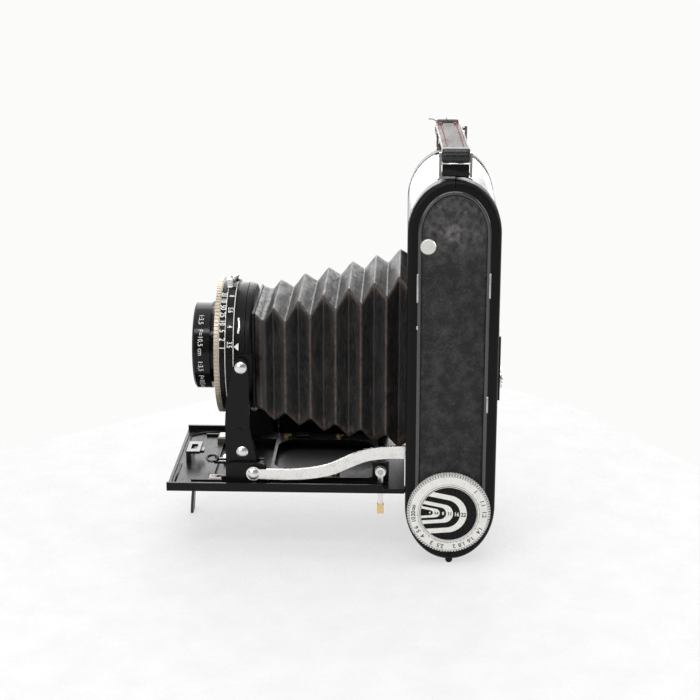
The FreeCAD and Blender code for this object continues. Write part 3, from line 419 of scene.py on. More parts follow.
# ---------------------------------------------------------------- bellows
def build_bellows():
    """Box-pleated tapering leather. Top ridges line up with the valleys at the sides."""
    low, high = local("bellows")
    rear, front = high.y, low.y
    pitch, first_ridge = 10.6, 28.7
    side_amp, top_amp = 2.85, 3.2
    smooth_front = front + 5.0
    wall = 0.55
    steps_per_pleat, sides = 24, 26
    count = int((rear - front) / pitch * steps_per_pleat)
    corner_noise = Vector((31.0, 7.0, 3.0))

    def fold(y):
        """+1 on a top ridge, -1 in a top valley, with slightly rounded turns."""
        phase = ((first_ridge - y) / pitch) % 1.0
        wave = 1 - 4 * min(phase, 1 - phase)
        return math.copysign(abs(wave) ** 0.92, wave) * 0.97

    def section(y, inset):
        w = fold(y)
        ease = min(1.0, max(0.0, (y - front) / (smooth_front - front)))
        hx = 28.2 + 0.022 * y - side_amp * w * ease
        low_z = 35.0 + 0.21 * y + top_amp * w * ease
        top_z = 35.3 + 0.268 * y + top_amp * w * ease
        near_gate = min(1.0, (rear - y) / 2.0)
        hx = 24.0 + (hx - 24.0) * ease
        low_z = inset - 20.5 - (low_z - 20.5) * ease ** 0.8
        top_z = 20.5 - inset + (top_z - 20.5) * ease
        hx -= inset
        ring = []
        corners = [(hx, top_z), (-hx, top_z), (-hx, low_z), (hx, low_z)]
        for c in range(4):
            a, b = corners[c], corners[(c + 1) % 4]
            for k in range(sides):
                u = k / sides
                x, z = a[0] + (b[0] - a[0]) * u, a[1] + (b[1] - a[1]) * u
                ripple = noise.noise(Vector((x * 0.11, y * 0.16, z * 0.11)) + corner_noise)
                crumple = noise.noise(Vector((x * 0.42, y * 0.5, z * 0.42)))
                sag = math.sin(math.pi * u) * 0.5 * w
                push = (ripple * 0.6 + crumple * 0.34) * ease * near_gate
                if c % 2:
                    x += math.copysign(push - sag * 0.6, x)
                else:
                    z += math.copysign(push + sag * 0.3, z)
                ring.append((x, y, z))
        return ring

    outer = [section(rear + (front - rear) * i / count, 0.0) for i in range(count + 1)]
    inner = [section(rear + (front - rear) * i / count, wall) for i in range(count, -1, -1)]
    vertices, faces = sweep(outer + inner, closed=True)
    obj = mesh_object("bellows_leather_skin", vertices, faces)
    # On the bellows the attribute holds only rubbed ridges and corners, with no painted light.
    wear_and_highlight = obj.data.attributes.new("wear_and_highlight", "FLOAT", "POINT")
    for i, v in enumerate(obj.data.vertices):
        p = (v.co - ORIGIN) / MM
        w = fold(p.y)
        hx, hz = 28.2 + 0.022 * p.y, 35.0 + 0.21 * p.y
        on_side = abs(p.x) / hx > abs(p.z) / hz
        ridge = -w if on_side else w
        corner = min(1.0, max(0.0, (min(abs(p.x) / hx, abs(p.z) / hz) - 0.9) / 0.1))
        wear_and_highlight.data[i].value = max(0.0, (ridge - 0.72) / 0.28, corner * 0.7)
    piece(obj, "body", "bellows_leather", LOOKS["bellows_leather"], "bellows")
    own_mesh(obj)


# ---------------------------------------------------------------- carrying strap
STRAP_LOW, STRAP_HIGH = local("carry_strap")
STRAP_Y = (STRAP_LOW.y + STRAP_HIGH.y) / 2
STRAP_HALF = (STRAP_HIGH.y - STRAP_LOW.y) / 2
LOOP_RADIUS = 3.2                       # of the CAD strap's end loops
BAR_X, BAR_Z = STRAP_HIGH.x - LOOP_RADIUS, STRAP_LOW.z + LOOP_RADIUS
BEND_RADIUS = 2.05                      # of the leather's middle layer round a bar
HALF_SPAN = BAR_X - 2                   # of the free leather between the bars
STRAP_BOW = 0.5
STRAP_CREEP = 0.03                      # sideways shift for each millimetre along the strap
STITCH_PITCH, STITCH_ROW = 2.1, 3.3     # spacing along a row, and the row's distance from the middle


def ribbon(path, width, thick, y_mid, crown=0.25):
    """A strap of rounded section along a path of (x, z), its width along Y."""
    rings = []
    for i, (x, z) in enumerate(path):
        before, after = Vector(path[max(i - 1, 0)]), Vector(path[min(i + 1, len(path) - 1)])
        along = (after - before).normalized()
        across = Vector((-along.y, along.x))
        ring = []
        for k in range(20):
            turn = 2 * math.pi * k / 20
            c, s = math.cos(turn), math.sin(turn)
            u = math.copysign(abs(c) ** 0.35, c) * width / 2
            v = math.copysign(abs(s) ** 0.6, s) * thick / 2 + crown * (1 - (2 * u / width) ** 2)
            wobble = noise.noise(Vector((x * 0.12, u * 0.2, z * 0.12))) * 0.15
            ring.append((x + across.x * (v + wobble), y_mid + u, z + across.y * (v + wobble)))
        rings.append(ring)
    return sweep(rings)


def arc(cx, cz, r, start, end, steps):
    return [(cx + r * math.cos(math.radians(start + (end - start) * i / steps)),
             cz + r * math.sin(math.radians(start + (end - start) * i / steps))) for i in range(steps + 1)]


def end_roll(x_bar, z_bar, y_mid, half, radius):
    """A roll of leather round one strap bar, with two grooves pressed along it."""
    grooves = (26.0, 50.0) if x_bar > 0 else (154.0, 130.0)
    rings = []
    for i in range(17):
        u = -half + 2 * half * i / 16
        ring = []
        for k in range(90):
            degrees = 4.0 * k
            r = radius - 0.4 * (abs(u) / half) ** 10
            r -= 0.3 * sum(math.exp(-((degrees - g) / 5.0) ** 2) for g in grooves)
            a = math.radians(degrees)
            ring.append((x_bar + r * math.cos(a), y_mid + u, z_bar + r * math.sin(a)))
        rings.append(ring)
    return sweep(rings)


def rounded_box(half, z0, z1, r=0.5):
    """Outline points (y, z) of a box with rounded corners."""
    corners = ((half - r, z1 - r, 0), (r - half, z1 - r, 90), (r - half, z0 + r, 180), (half - r, z0 + r, 270))
    outline = []
    for cy, cz, start in corners:
        outline += arc(cy, cz, r, start, start + 90, 4)
    return outline


def slanted(vertices, faces):
    """The strap has crept forward on its far bar."""
    return [(x, y + STRAP_CREEP * (x - BAR_X), z) for x, y, z in vertices], faces


def strap_crest(x):
    """Height of the leather's middle layer, which bows up a little between the bars."""
    return BAR_Z + BEND_RADIUS + STRAP_BOW * (1 - (x / HALF_SPAN) ** 2)


def strap_top(x):
    """Height of the leather's upper face."""
    return strap_crest(x) + 1.02


def strap_band():
    """The leather runs round both bars, and its two ends lie folded under it."""
    steps = 30
    crest_xs = [HALF_SPAN * (1 - 2 * i / steps) for i in range(1, steps)]
    near_end = [(BAR_X - 14, BAR_Z - 0.6), (BAR_X - 9, BAR_Z - 1.6)]
    far_end = [(-x, z) for x, z in reversed(near_end)]
    path = near_end + arc(BAR_X, BAR_Z, BEND_RADIUS, -110, 100, 12) + [(x, strap_crest(x)) for x in crest_xs]
    path += arc(-BAR_X, BAR_Z, BEND_RADIUS, 80, 290, 12) + far_end
    return ribbon(path, 2 * STRAP_HALF - 0.4, 1.7, STRAP_Y)


def strap_stitches():
    """Two rows of running stitches, some lost, with a knot of crossed threads where they start."""
    stitches = []
    random.seed(7)
    for side in (-1, 1):
        x = 5 - HALF_SPAN
        y = STRAP_Y + side * STITCH_ROW
        while x < HALF_SPAN - 4:
            points = [(x, y, strap_top(x) - 0.25), (x + 0.35, y, strap_top(x) + 0.08),
                      (x + 1.2, y, strap_top(x + 1.2) + 0.09), (x + 1.55, y, strap_top(x + 1.55) - 0.25)]
            if random.random() < 0.85:
                stitches.append(tube(points, 0.13, 8))
            x += STITCH_PITCH
    for side in (-1, 1):
        y = STRAP_Y + side * STITCH_ROW
        for k in range(4):
            x = 5.5 - HALF_SPAN + k * 0.5
            z = strap_top(x)
            stitches.append(tube([(x - 0.5, y - 0.9, z), (x, y, z + 0.35), (x + 0.5, y + 0.9, z)], 0.22, 8))
    return join(stitches)


def strap_fillers():
    """The dark blocks between each roll and the body."""
    bottom, top = STRAP_LOW.z - 5.4, BAR_Z - 1.5
    fillers = []
    for side in (-1, 1):
        rings = []
        for x, inset in ((32.5, 0.3), (32.7, 0.0), (35.9, 0.0), (36.1, 0.3)):
            outline = rounded_box(STRAP_HALF - inset, bottom + inset, top - inset)
            rings.append([(side * x, STRAP_Y + y, z) for y, z in outline])
        fillers.append(sweep(rings))
    return join(fillers)


def strap_edges():
    """The raw edges of the hide along both sides."""
    xs = [HALF_SPAN * (1 - i / 20) for i in range(41)]
    sides = [STRAP_Y + side * (STRAP_HALF - 0.25) for side in (-1, 1)]
    return join([tube([(x, y, strap_top(x) - 1.0) for x in xs], 0.5, 8) for y in sides])


def stray_threads():
    """Two loose black thread ends at the far bar, as steps from the place where they come out."""
    x0 = 3.0 - HALF_SPAN
    z0 = strap_top(x0)
    stray = ((-1.0, -8.3, 1.4), (0.0, -6.6, 1.5), (2.0, -4.9, 0.9), (5.5, -3.7, 0.5), (8.0, -3.4, 0.3))
    hook = ((-0.5, -0.8, 1.9), (0.8, -0.3, 1.2), (1.8, 0.8, 0.9), (2.4, 1.6, 0.6))
    return join([tube([(x0 + x, STRAP_Y + y, z0 + z) for x, y, z in line], 0.2, 8) for line in (stray, hook)])


def build_strap():
    band = mesh_object("carry_strap_leather", *slanted(*strap_band()))
    piece(band, "body", "strap_leather", LOOKS["strap_leather"], "carry_strap")
    piece(mesh_object("strap_stitching", *slanted(*strap_stitches())), "body", "strap_leather", RED_THREAD)
    rolls = [end_roll(BAR_X, BAR_Z, STRAP_Y, STRAP_HALF + 0.2, 3.1),
             end_roll(-BAR_X, BAR_Z, STRAP_Y, STRAP_HALF - 0.6, 4.1)]
    piece(mesh_object("strap_end_rolls", *slanted(*join(rolls))), "body", "strap_leather", ROLL_LEATHER)
    bar_end, bar_z = STRAP_HALF + 0.3, BAR_Z - 2.9
    bars = [tube([(x, STRAP_Y - bar_end, bar_z), (x, STRAP_Y + bar_end, bar_z)], 0.35, 10)
            for x in (-BAR_X - 2.3, BAR_X + 2.3)]
    piece(mesh_object("strap_bar_edges", *join(bars)), "body", "nickel", LOOKS["nickel"])
    piece(mesh_object("strap_fillers", *strap_fillers()), "body", "black_lacquer", LOOKS["black_lacquer"])
    piece(mesh_object("strap_raw_edges", *slanted(*strap_edges())), "body", "strap_leather", RAW_HIDE)
    piece(mesh_object("loose_threads", *slanted(*stray_threads())), "body", "strap_leather", BLACK_THREAD)


# ---------------------------------------------------------------- end faces
PLATES_LOW, PLATES_HIGH = local("end_plates")
BODY_MID_Y = (PLATES_LOW.y + PLATES_HIGH.y) / 2
STRAIGHT = 59.0                         # half the length of the outline's straight sides
SHELL_RIM = 4.8                         # from the plates' edge to the shell's outside
ARC_SHARE = 0.22                        # of one turn round the outline, for each end
SIDE_SHARE = 0.5 - ARC_SHARE
LEATHER_INSET, BEAD_INSET = 5.6, 5.0
BLISTERS = ((18.5, 59.5, 2.4, 0.7), (27.5, 27.5, 1.7, 0.32), (14.0, -16.5, 2.2, 0.35), (24.0, -40.0, 1.2, 0.2))
RIM_TABS = ((4.35, 30.5, 42.5), (4.35, 19.0, 20.5), (33.6, 32.5, 43.0), (33.6, -16.5, -9.5))


def oblong_point(inset, turn):
    """A point (y, z) on the body's end outline, inset all round; turn runs 0..1 from the top."""
    depth = (PLATES_HIGH.y - PLATES_LOW.y) / 2 + SHELL_RIM - inset
    top_rise = PLATES_HIGH.z - STRAIGHT + SHELL_RIM - inset
    low_rise = -PLATES_LOW.z - STRAIGHT + SHELL_RIM - inset
    t = turn % 1.0
    if t < ARC_SHARE / 2:
        angle = math.pi * t / ARC_SHARE
        return BODY_MID_Y + depth * math.sin(angle), STRAIGHT + top_rise * math.cos(angle)
    t -= ARC_SHARE / 2
    if t < SIDE_SHARE:
        return BODY_MID_Y + depth, STRAIGHT - 2 * STRAIGHT * t / SIDE_SHARE
    t -= SIDE_SHARE
    if t < ARC_SHARE:
        angle = math.pi * t / ARC_SHARE
        return BODY_MID_Y + depth * math.cos(angle), -STRAIGHT - low_rise * math.sin(angle)
    t -= ARC_SHARE
    if t < SIDE_SHARE:
        return BODY_MID_Y - depth, -STRAIGHT + 2 * STRAIGHT * t / SIDE_SHARE
    angle = math.pi * (t - SIDE_SHARE) / ARC_SHARE
    return BODY_MID_Y - depth * math.cos(angle), STRAIGHT + top_rise * math.sin(angle)


def blister_lift(y, z):
    """Height of the rivet heads that show through the leather, each with a hollow round it."""
    lift = 0.0
    for by, bz, r, tall in BLISTERS:
        d = math.hypot(y - by, z - bz) / r
        lift += tall * math.exp(-d * d) - 0.12 * math.exp(-4 * (d - 1.9) ** 2)
    return lift


def leather_sheet(side):
    """The inset leather of one end face: slightly wavy, with blisters and a rolled edge."""
    low, high = local("end_leathers")
    x_out = high.x if side > 0 else low.x
    around, rings_in = 200, 70
    outline = [oblong_point(LEATHER_INSET, i / around) for i in range(around)]
    vertices, faces = [], []
    for j in range(rings_in + 1):
        share = 1 - (j / rings_in)
        for edge_y, edge_z in outline:
            y = BODY_MID_Y + (edge_y - BODY_MID_Y) * share
            z = edge_z * share
            lift = noise.noise(Vector((y * 0.09, z * 0.09, side * 4.0))) * 0.12 + blister_lift(y, z)
            rolled = 0.35 * math.exp(-((share - 1) * 30) ** 2)
            vertices.append((x_out + side * (lift * min(1, (1 - share) * 12) - rolled), y, z))
    for j in range(rings_in):
        for i in range(around):
            n = (i + 1) % around
            faces.append((j * around + i, j * around + n, (j + 1) * around + n, (j + 1) * around + i))
    rim = len(vertices)
    vertices += [(x_out - side * 0.55, y, z) for y, z in outline]
    for i in range(around):
        n = (i + 1) % around
        faces.append((i, n, rim + n, rim + i))
    faces.append(tuple(rim + i for i in range(around)))
    return vertices, faces


def paint_crinkle_highlight(obj):
    """Writes the wear_and_highlight attribute: a painted highlight on a star of creases round the top blister,
    and paler, crinkle-patterned leather towards the top.
    """
    by, bz, r, _ = BLISTERS[0]
    wear_and_highlight = obj.data.attributes.new("wear_and_highlight", "FLOAT", "POINT")
    for i, v in enumerate(obj.data.vertices):
        p = (v.co - ORIGIN) / MM
        top = max(0.0, min(1.0, (p.z - 44.0) / 14.0)) * (0.5 + noise.noise(Vector((p.y * 0.5, p.z * 0.5, 2.0))))
        d, turn = math.hypot(p.y - by, p.z - bz) / r, math.atan2(p.z - bz, p.y - by)
        # The star is a painted highlight on the blister's ring and creases.
        star_highlight = math.exp(-(d - 0.9) ** 2 * 5) + math.exp(-d * 0.7) * max(0.0, math.cos(turn * 6)) ** 2
        wear_and_highlight.data[i].value = max(0.0, min(1.0, 0.7 * star_highlight + 0.55 * top))


def build_end_faces():
    near = mesh_object("end_leather_near_sheet", *leather_sheet(1))
    paint_crinkle_highlight(near)
    piece(near, "body", "body_leather", LOOKS["body_leather"], "end_leathers")
    far = mesh_object("end_leather_far_sheet", *leather_sheet(-1))
    piece(far, "body", "body_leather", LOOKS["body_leather"])
    x_face = local("end_leathers")[1].x
    beads = []
    for side in (-1, 1):
        path = [(side * (x_face - 0.15), *oblong_point(BEAD_INSET, i / 220)) for i in range(220)]
        beads.append(tube(path, 0.9, 14, closed=True))
    piece(mesh_object("rim_beads", *join(beads)), "body", "black_lacquer", BEAD_GLOSS)
    tabs = []
    for y, z0, z1 in RIM_TABS:
        tabs.append(tube([(x_face + 0.1, y, z0), (x_face + 0.28, y, z0 + 0.5), (x_face + 0.28, y, z1 - 0.5),
                          (x_face + 0.1, y, z1)], 0.5, 10))
    piece(mesh_object("rim_tabs", *join(tabs)), "body", "steel", LOOKS["steel"])


# ---------------------------------------------------------------- focusing dial
DISTANCES = (1, 1.1, 1.2, 1.4, 1.6, 1.8, 2, 2.5, 3, 4, 5, 6, 10, 20)
FOCAL_LENGTH = 0.105
NEAREST = 1.0
INFINITY_TURN, FULL_TURN = -190.0, 232.0


def dial_turn(distance):
    """Angle of a distance on the dial: the lens travel is in proportion to 1 / (distance - focal length)."""
    return INFINITY_TURN + FULL_TURN * (NEAREST - FOCAL_LENGTH) / (distance - FOCAL_LENGTH)


def dial_text(text, size, r, degrees, face_x, centre):
    a = math.radians(degrees)

    def place(u, v, w):
        y = centre.y + (r + v) * math.cos(a) + u * math.sin(a)
        z = centre.z + (r + v) * math.sin(a) - u * math.cos(a)
        return face_x + w, y, z
    return text_mesh(text, size, place, 0.045)


def flat_band(outline, x, thick):
    """A thin plate across X from an outline of (y, z) points."""
    count = len(outline)
    vertices = [(x, y, z) for y, z in outline] + [(x + thick, y, z) for y, z in outline]
    faces = [tuple(reversed(range(count))), tuple(count + i for i in range(count))]
    for i in range(count):
        n = (i + 1) % count
        faces.append((i, n, count + n, count + i))
    return vertices, faces


def build_dial():
    low, high = local("focus_dial")
    disc_face = local("depth_disc")[1].x
    centre = (low + high) / 2
    face = high.x + 0.01
    marks = []
    for d in DISTANCES:
        marks.append(dial_text("%g" % d, 2.5, 14.9, dial_turn(d), face, centre))
    marks.append(dial_text("∞", 3.0, 14.9, INFINITY_TURN, face, centre))
    ticks = [d + f * 0.1 for d in (1, 2) for f in range(10)] + [3.5, 4.5, 8, 15]
    for d in ticks:
        a = math.radians(dial_turn(d))
        out = Vector((0, math.cos(a), math.sin(a)))
        mid = Vector((face + 0.01, centre.y, centre.z))
        marks.append(tube([tuple(mid + out * 12.75), tuple(mid + out * 13.5)], 0.07, 6))
    piece(mesh_object("dial_figures", *join(marks), smooth=False), "dial", "dial_silver", BLACK_PAINT)
    grooves = []
    for r in (13.0, 16.55):
        ring = [(face - 0.03, centre.y + r * math.cos(2 * math.pi * i / 120),
                 centre.z + r * math.sin(2 * math.pi * i / 120)) for i in range(120)]
        grooves.append(tube(ring, 0.07, 8, closed=True))
    edge_r, notches = (high.y - low.y) / 2, 92
    for k in range(notches):
        a = 2 * math.pi * k / notches
        out = Vector((0, math.cos(a), math.sin(a)))
        mid = Vector((face - 0.12, centre.y, centre.z))
        grooves.append(tube([tuple(mid + out * (edge_r - 0.85)), tuple(mid + out * (edge_r - 0.05))], 0.17, 6))
    piece(mesh_object("dial_grooves", *join(grooves)), "dial", "dial_silver", LOOKS["blackened_steel"])

    limit, lean, axis_turn = 11.75, 8.0, -3.5
    edges = ((7.6, 8.4), (4.8, 6.3), (1.8, 4.1), (-1.1, 2.7), (-3.8, 1.9), (-6.7, 1.1))

    def turned(y, z):
        c, s = math.cos(math.radians(axis_turn)), math.sin(math.radians(axis_turn))
        return centre.y + y * c - z * s, centre.z + y * s + z * c

    def u_edge(tip, r):
        """One U line, from the disc's rim round the bend and back to the rim."""
        cy = tip - r
        bend = [(cy + r * math.cos(math.radians(t)), r * math.sin(math.radians(t)))
                for t in [(-90 + lean) + (180 - 2 * lean) * i / 40 for i in range(41)]]
        y, z = bend[-1]
        run = 0.0
        while math.hypot(y, z) < limit:
            run += 0.05
            y = bend[-1][0] - run * math.cos(math.radians(lean))
            z = bend[-1][1] + run * math.sin(math.radians(lean))
        return [(y, -z)] + bend + [(y, z)]

    def depth_text(text, where, size, lift, bold):
        return text_mesh(text, size, lambda u, v, w: (disc_face + lift + w, *turned(where + u * 0.9, v)), bold)

    bands = []
    for outer, inner in ((0, 1), (2, 3), (4, 5)):
        outline = u_edge(*edges[outer]) + list(reversed(u_edge(*edges[inner])))
        bands.append(flat_band([turned(y, z) for y, z in outline], disc_face - 0.01, 0.035))
    rim = [(disc_face + 0.0, centre.y + 11.95 * math.cos(2 * math.pi * i / 120),
            centre.z + 11.95 * math.sin(2 * math.pi * i / 120)) for i in range(120)]
    bands.append(tube(rim, 0.12, 8, closed=True))
    for text, where, size in (("16", 3.3, 2.4), ("8", -2.4, 2.0), ("4", -8.0, 1.5)):
        bands.append(depth_text(text, where, size, 0.02, 0.05))
    piece(mesh_object("depth_bands", *join(bands), smooth=False), "body", "scale_black", WHITE_PAINT)
    dark = []
    for text, where, size in (("22", 6.2, 2.4), ("11", 0.4, 2.2), ("5.6", -5.2, 1.5)):
        dark.append(depth_text(text, where, size, 0.05, 0.07))
    piece(mesh_object("depth_figures", *join(dark), smooth=False), "body", "scale_black", BLACK_PAINT)


# ---------------------------------------------------------------- shutter and lens rings
def ring_text(text, size, radius, y_mid, degrees, squeeze=0.7, bold=0.04):
    """Narrow figures wrapped on a ring. They read downwards on the dial side."""
    def place(u, v, w):
        a = math.radians(degrees) + u * squeeze / radius
        return (radius + w) * math.sin(a), y_mid + v, (radius + w) * math.cos(a)
    return text_mesh(text, size, place, bold)


def ring_line(radius, y, width):
    """A thin painted line round a ring."""
    rings = []
    for i in range(160):
        a = 2 * math.pi * i / 160
        ring = []
        for k in range(8):
            b = 2 * math.pi * k / 8
            r = radius + 0.045 * math.sin(b)
            ring.append((r * math.sin(a), y + width / 2 * math.cos(b), r * math.cos(a)))
        rings.append(ring)
    return sweep(rings, closed=True)


def build_scales():
    ring_high = local("speed_ring")[1]
    band_low, band_high = local("aperture_band")
    radius = band_high.x
    band_y = (band_low.y + band_high.y) / 2
    speed_y, half_band = ring_high.y - 1.5, 1.45
    speeds = ["1", "2", "5", "10", "25", "50", "100", "250"]
    paint_r = radius + 0.02
    first_speed, speed_step = 76.5, 7.2
    squeezes = [0.52 if len(s) > 2 else 0.75 for s in speeds]
    paint = [ring_text(s, 3.4, paint_r, speed_y, first_speed - speed_step * i, squeeze, 0.06)
             for i, (s, squeeze) in enumerate(zip(speeds, squeezes))]
    paint += [ring_text(s, 2.9, paint_r, speed_y, -100 - 14.0 * i) for i, s in enumerate(speeds)]
    paint += [ring_line(radius, speed_y + offset, 0.3) for offset in (half_band - 0.15, 0.15 - half_band)]
    piece(mesh_object("speed_figures", *join(paint), smooth=False), "speed_ring", "scale_black", WHITE_PAINT)
    stops = ["3.5", "4", "5.6", "8", "11", "16", "22"]
    turns = [73.7 - 15.3 * i for i in range(len(stops))]
    paint = [ring_text(s, 3.1, paint_r, band_y - 0.2, turn) for s, turn in zip(stops, turns)]
    paint += [ring_text("I", 0.9, paint_r, band_y + 1.05, turn) for turn in turns]
    paint.append(ring_line(radius, band_high.y - 0.2, 0.3))
    piece(mesh_object("aperture_figures", *join(paint), smooth=False), "board", "scale_black", WHITE_PAINT)
    sleeve = []
    for i in range(160):
        a = 2 * math.pi * i / 160
        front, back = speed_y - half_band, speed_y + half_band
        profile = ((radius + 0.005, front), (radius + 0.03, front + 0.05), (radius + 0.03, back - 0.05),
                   (radius + 0.005, back), (radius - 0.1, back - 0.05), (radius - 0.1, front + 0.05))
        sleeve.append([(r * math.sin(a), y, r * math.cos(a)) for r, y in profile])
    piece(mesh_object("speed_band_enamel", *sweep(sleeve, closed=True)), "speed_ring", "scale_black",
          LOOKS["scale_black"])
    lens_low, lens_high = local("lens_barrel")
    lens_r = lens_high.x + 0.01
    engraved = [ring_text("1:3,5   F=10,5 cm   1:3,5   F=10,5 cm", 3.0, lens_r, lens_low.y + 3.5, 92, 0.9, 0.0)]
    piece(mesh_object("lens_engraving", *join(engraved), smooth=False), "board", "black_lacquer", WHITE_PAINT)
    case_r = local("shutter_housing")[1].x
    rings = []
    for r in (case_r, case_r + 1.25):
        corners = [(-1.6, band_high.y + 2.0), (1.6, band_high.y + 2.0), (0.0, band_high.y + 0.1)]
        turns = [math.radians(75.4) + u / case_r for u, y in corners]
        rings.append([(r * math.sin(a), y, r * math.cos(a)) for a, (u, y) in zip(turns, corners)])
    piece(mesh_object("aperture_index", *sweep(rings), smooth=False), "board", "scale_black", WHITE_PAINT)
    sliver, sliver_r = [], case_r + 0.3
    for i in range(15):
        a = math.radians(50 + i)
        swell = math.sin(math.pi * i / 14)
        sliver.append((sliver_r * math.sin(a), band_high.y + 1.6 + 0.5 * swell, sliver_r * math.cos(a)))
    piece(mesh_object("flash_contact_rim", *tube(sliver, 0.7, 10)), "board", "nickel", LOOKS["nickel"])


def build_cocking_thumb():
    """The bent and fluted thumb piece at the end of the cocking lever."""
    outline = [(-76.6, 29.6), (-75.6, 31.0), (-75.2, 32.6), (-74.2, 31.9), (-71.6, 33.0), (-72.4, 31.4),
               (-71.7, 30.4), (-73.4, 29.4)]
    piece(mesh_object("cocking_thumb", *flat_band(outline, 3.4, 2.6)), "cocking", "nickel", LOOKS["steel"])


def build_lens_front():
    """Threaded black rings stepping down inside the lens mouth."""
    mouth_y, glass_y = local("lens_barrel")[0].y, local("front_element")[0].y
    rings = []
    profile = []
    turns = 6
    for i in range(turns):
        y = mouth_y + 0.35 + i * (glass_y - mouth_y + 2.0) / turns
        r = 16.9 - i * 0.3
        profile += [(r, y), (r - 0.28, y + 0.17)]
    y_end = profile[-1][1] + 0.3
    profile += [(15.2, y_end), (15.2 + 2.0, y_end + 0.05), (17.2, mouth_y + 0.5)]
    for i in range(128):
        a = 2 * math.pi * i / 128
        rings.append([(r * math.sin(a), y, r * math.cos(a)) for r, y in profile])
    piece(mesh_object("lens_mouth_steps", *sweep(rings, closed=True)), "board", "black_lacquer",
          LOOKS["black_satin"])


# ---------------------------------------------------------------- bed details
def build_bed_details():
    low, high = local("bed_plate")
    floor_z = local("bed_brackets")[0].z
    beads = []
    beads.append(tube([(-high.x + 9.0, low.y + 2.0, floor_z), (-high.x + 5.2, low.y + 7.5, floor_z),
                       (-high.x + 3.4, low.y + 16.0, floor_z)], 0.75, 12))
    beads.append(tube([(x, low.y + 2.6, floor_z) for x in (-30.0, -8.0)], 0.45, 10))
    beads.append(tube([(x, low.y + 2.6, floor_z) for x in (8.0, 33.0)], 0.45, 10))
    for side in (-1, 1):
        beads.append(tube([(side * 35.2, y, floor_z) for y in (low.y + 4, -14.0)], 0.5, 10))
    piece(mesh_object("bed_beads", *join(beads)), "bed", "black_satin", LOOKS["black_satin"])
    # A dark plate on the far side under the bellows, standing in as painted shade for the dark far side, with a
    # ridge along its top for the black cranked lever.
    outline = [(-58.6, floor_z - 0.3), (-58.6, -40.0), (-57.0, -37.6), (-54.0, -37.0), (-10.0, -37.0),
               (-8.0, -38.5), (-8.0, floor_z - 0.3)]
    wall = flat_band(outline, -32.9, 0.6)
    ridge = tube([(-32.3, y, z) for y, z in ((-58.4, -41.0), (-55.0, -42.2), (-51.0, -45.6), (-46.0, -46.4),
                                             (-12.0, -46.4))], 0.8, 12)
    piece(mesh_object("bed_far_shade_plate_and_lever", *join([wall, ridge])), "bed", "black_satin", LOOKS["black_lacquer"])
    stop_x = local("distance_stops")[1].x - 2.4
    mark = text_mesh("∞", 3.4, lambda u, v, w: (stop_x - v, -82.6 + u * 0.9, floor_z + 1.22 + w))
    piece(mesh_object("infinity_mark", *mark, smooth=False), "bed", "nickel", BLACK_PAINT)


# ---------------------------------------------------------------- stage
FLOOR_Z = -84.75


def build_stage():
    """The sheet of paper the camera stands on, with its torn far edge."""
    left, right, bend = Vector((-179, -105)), Vector((-171, 92)), Vector((-262, 10))
    edge = [Vector((371, -727)), Vector((5, -313)), Vector((-87, -209))]
    for i in range(25):
        t = i / 24
        edge.append(left * (1 - t) ** 2 + bend * 2 * t * (1 - t) + right * t * t)
    edge += [Vector(corner) for corner in ((-52, 160), (100, 247), (500, 475), (900, 400), (900, -700))]
    vertices = [(p.x, p.y, FLOOR_Z) for p in edge]
    obj = mesh_object("floor", vertices, [tuple(range(len(vertices)))])
    obj.data.materials.append(floor_paper())


def area_light(name, where, target, size, power, seen=True):
    lamp = bpy.data.lights.new(name, "AREA")
    lamp.shape, lamp.size, lamp.size_y = "RECTANGLE", size[0] * MM, size[1] * MM
    lamp.energy = power
    obj = bpy.data.objects.new(name, lamp)
    obj.visible_camera = seen
    obj.location = at(*where)
    direction = at(*target) - obj.location
    obj.rotation_euler = direction.to_track_quat("-Z", "Y").to_euler()
    bpy.context.scene.collection.objects.link(obj)


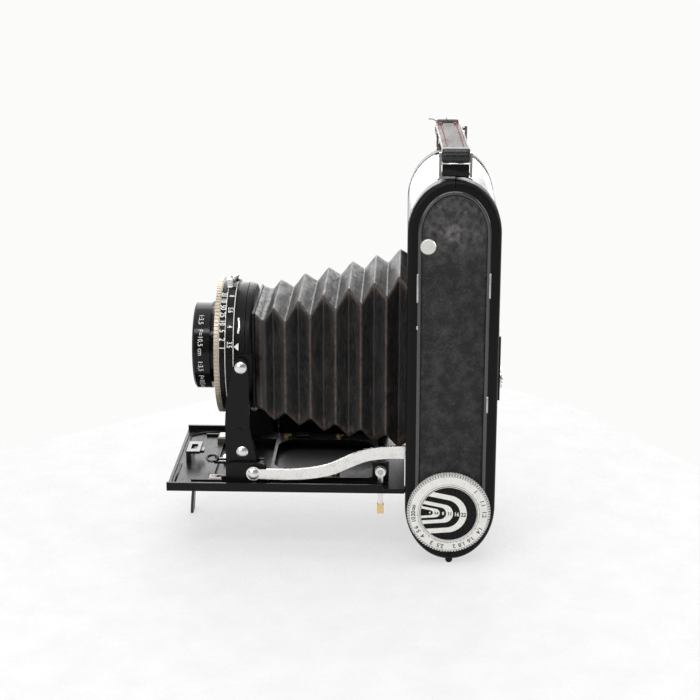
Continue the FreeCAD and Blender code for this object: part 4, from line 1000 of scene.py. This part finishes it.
CAMERA_TARGET = (0.0, -24.6, -2.0)
CAMERA_AZIMUTH, CAMERA_ELEVATION, CAMERA_DISTANCE = math.radians(92.0), math.radians(16.8), 722.0
FOCAL_MM, SENSOR_MM = 85.0, 36.0
WALL_GLOW, ROOM_GLOW = 0.97, 0.22       # brightness of the backdrop, and of the room behind the viewer


def build_light_and_camera():
    world = bpy.data.worlds.new("studio")
    world.use_nodes = True
    nodes, links = world.node_tree.nodes, world.node_tree.links
    direction = nodes.new("ShaderNodeSeparateXYZ")
    fall = nodes.new("ShaderNodeMapRange")
    backdrop = nodes["Background"]
    links.new(nodes.new("ShaderNodeTexCoord").outputs["Generated"], direction.inputs[0])
    links.new(direction.outputs[0], fall.inputs[0])
    links.new(fall.outputs[0], backdrop.inputs[1])
    for i, value in enumerate((-0.15, 0.6, WALL_GLOW, ROOM_GLOW)):
        fall.inputs[i + 1].default_value = value
    backdrop.inputs[0].default_value = (1.0, 0.995, 0.99, 1.0)
    bpy.context.scene.world = world
    area_light("top_softbox", (-60, -40, 620), (0, 0, 0), (700, 700), 1.2, False)
    area_light("back_softbox", (-700, -50, 330), (0, 0, 0), (500, 900), 4.5, False)
    area_light("front_softbox", (650, -450, 300), (0, -20, 0), (420, 420), 1.8, False)
    area_light("glint_strip", (430, -80, 520), (40, 0, 0), (500, 110), 1.6, False)
    area_light("rear_softbox", (120, 560, 260), (0, 0, 20), (360, 420), 1.2, False)
    lens = bpy.data.cameras.new("camera")
    lens.lens, lens.sensor_width = FOCAL_MM, SENSOR_MM
    lens.clip_start, lens.clip_end = 0.02, 20.0
    obj = bpy.data.objects.new("camera", lens)
    flat = math.cos(CAMERA_ELEVATION)
    away = Vector((math.sin(CAMERA_AZIMUTH) * flat, -math.cos(CAMERA_AZIMUTH) * flat,
                   math.sin(CAMERA_ELEVATION)))
    obj.location = at(*(Vector(CAMERA_TARGET) + away * CAMERA_DISTANCE))
    obj.rotation_euler = (-away).to_track_quat("-Z", "Y").to_euler()
    bpy.context.scene.collection.objects.link(obj)
    bpy.context.scene.camera = obj
    bpy.context.scene.view_settings.view_transform = "Standard"


paint_cad_nodes()
build_bellows()
build_strap()
build_end_faces()
build_dial()
build_scales()
build_cocking_thumb()
build_lens_front()
build_bed_details()
build_stage()
build_light_and_camera()
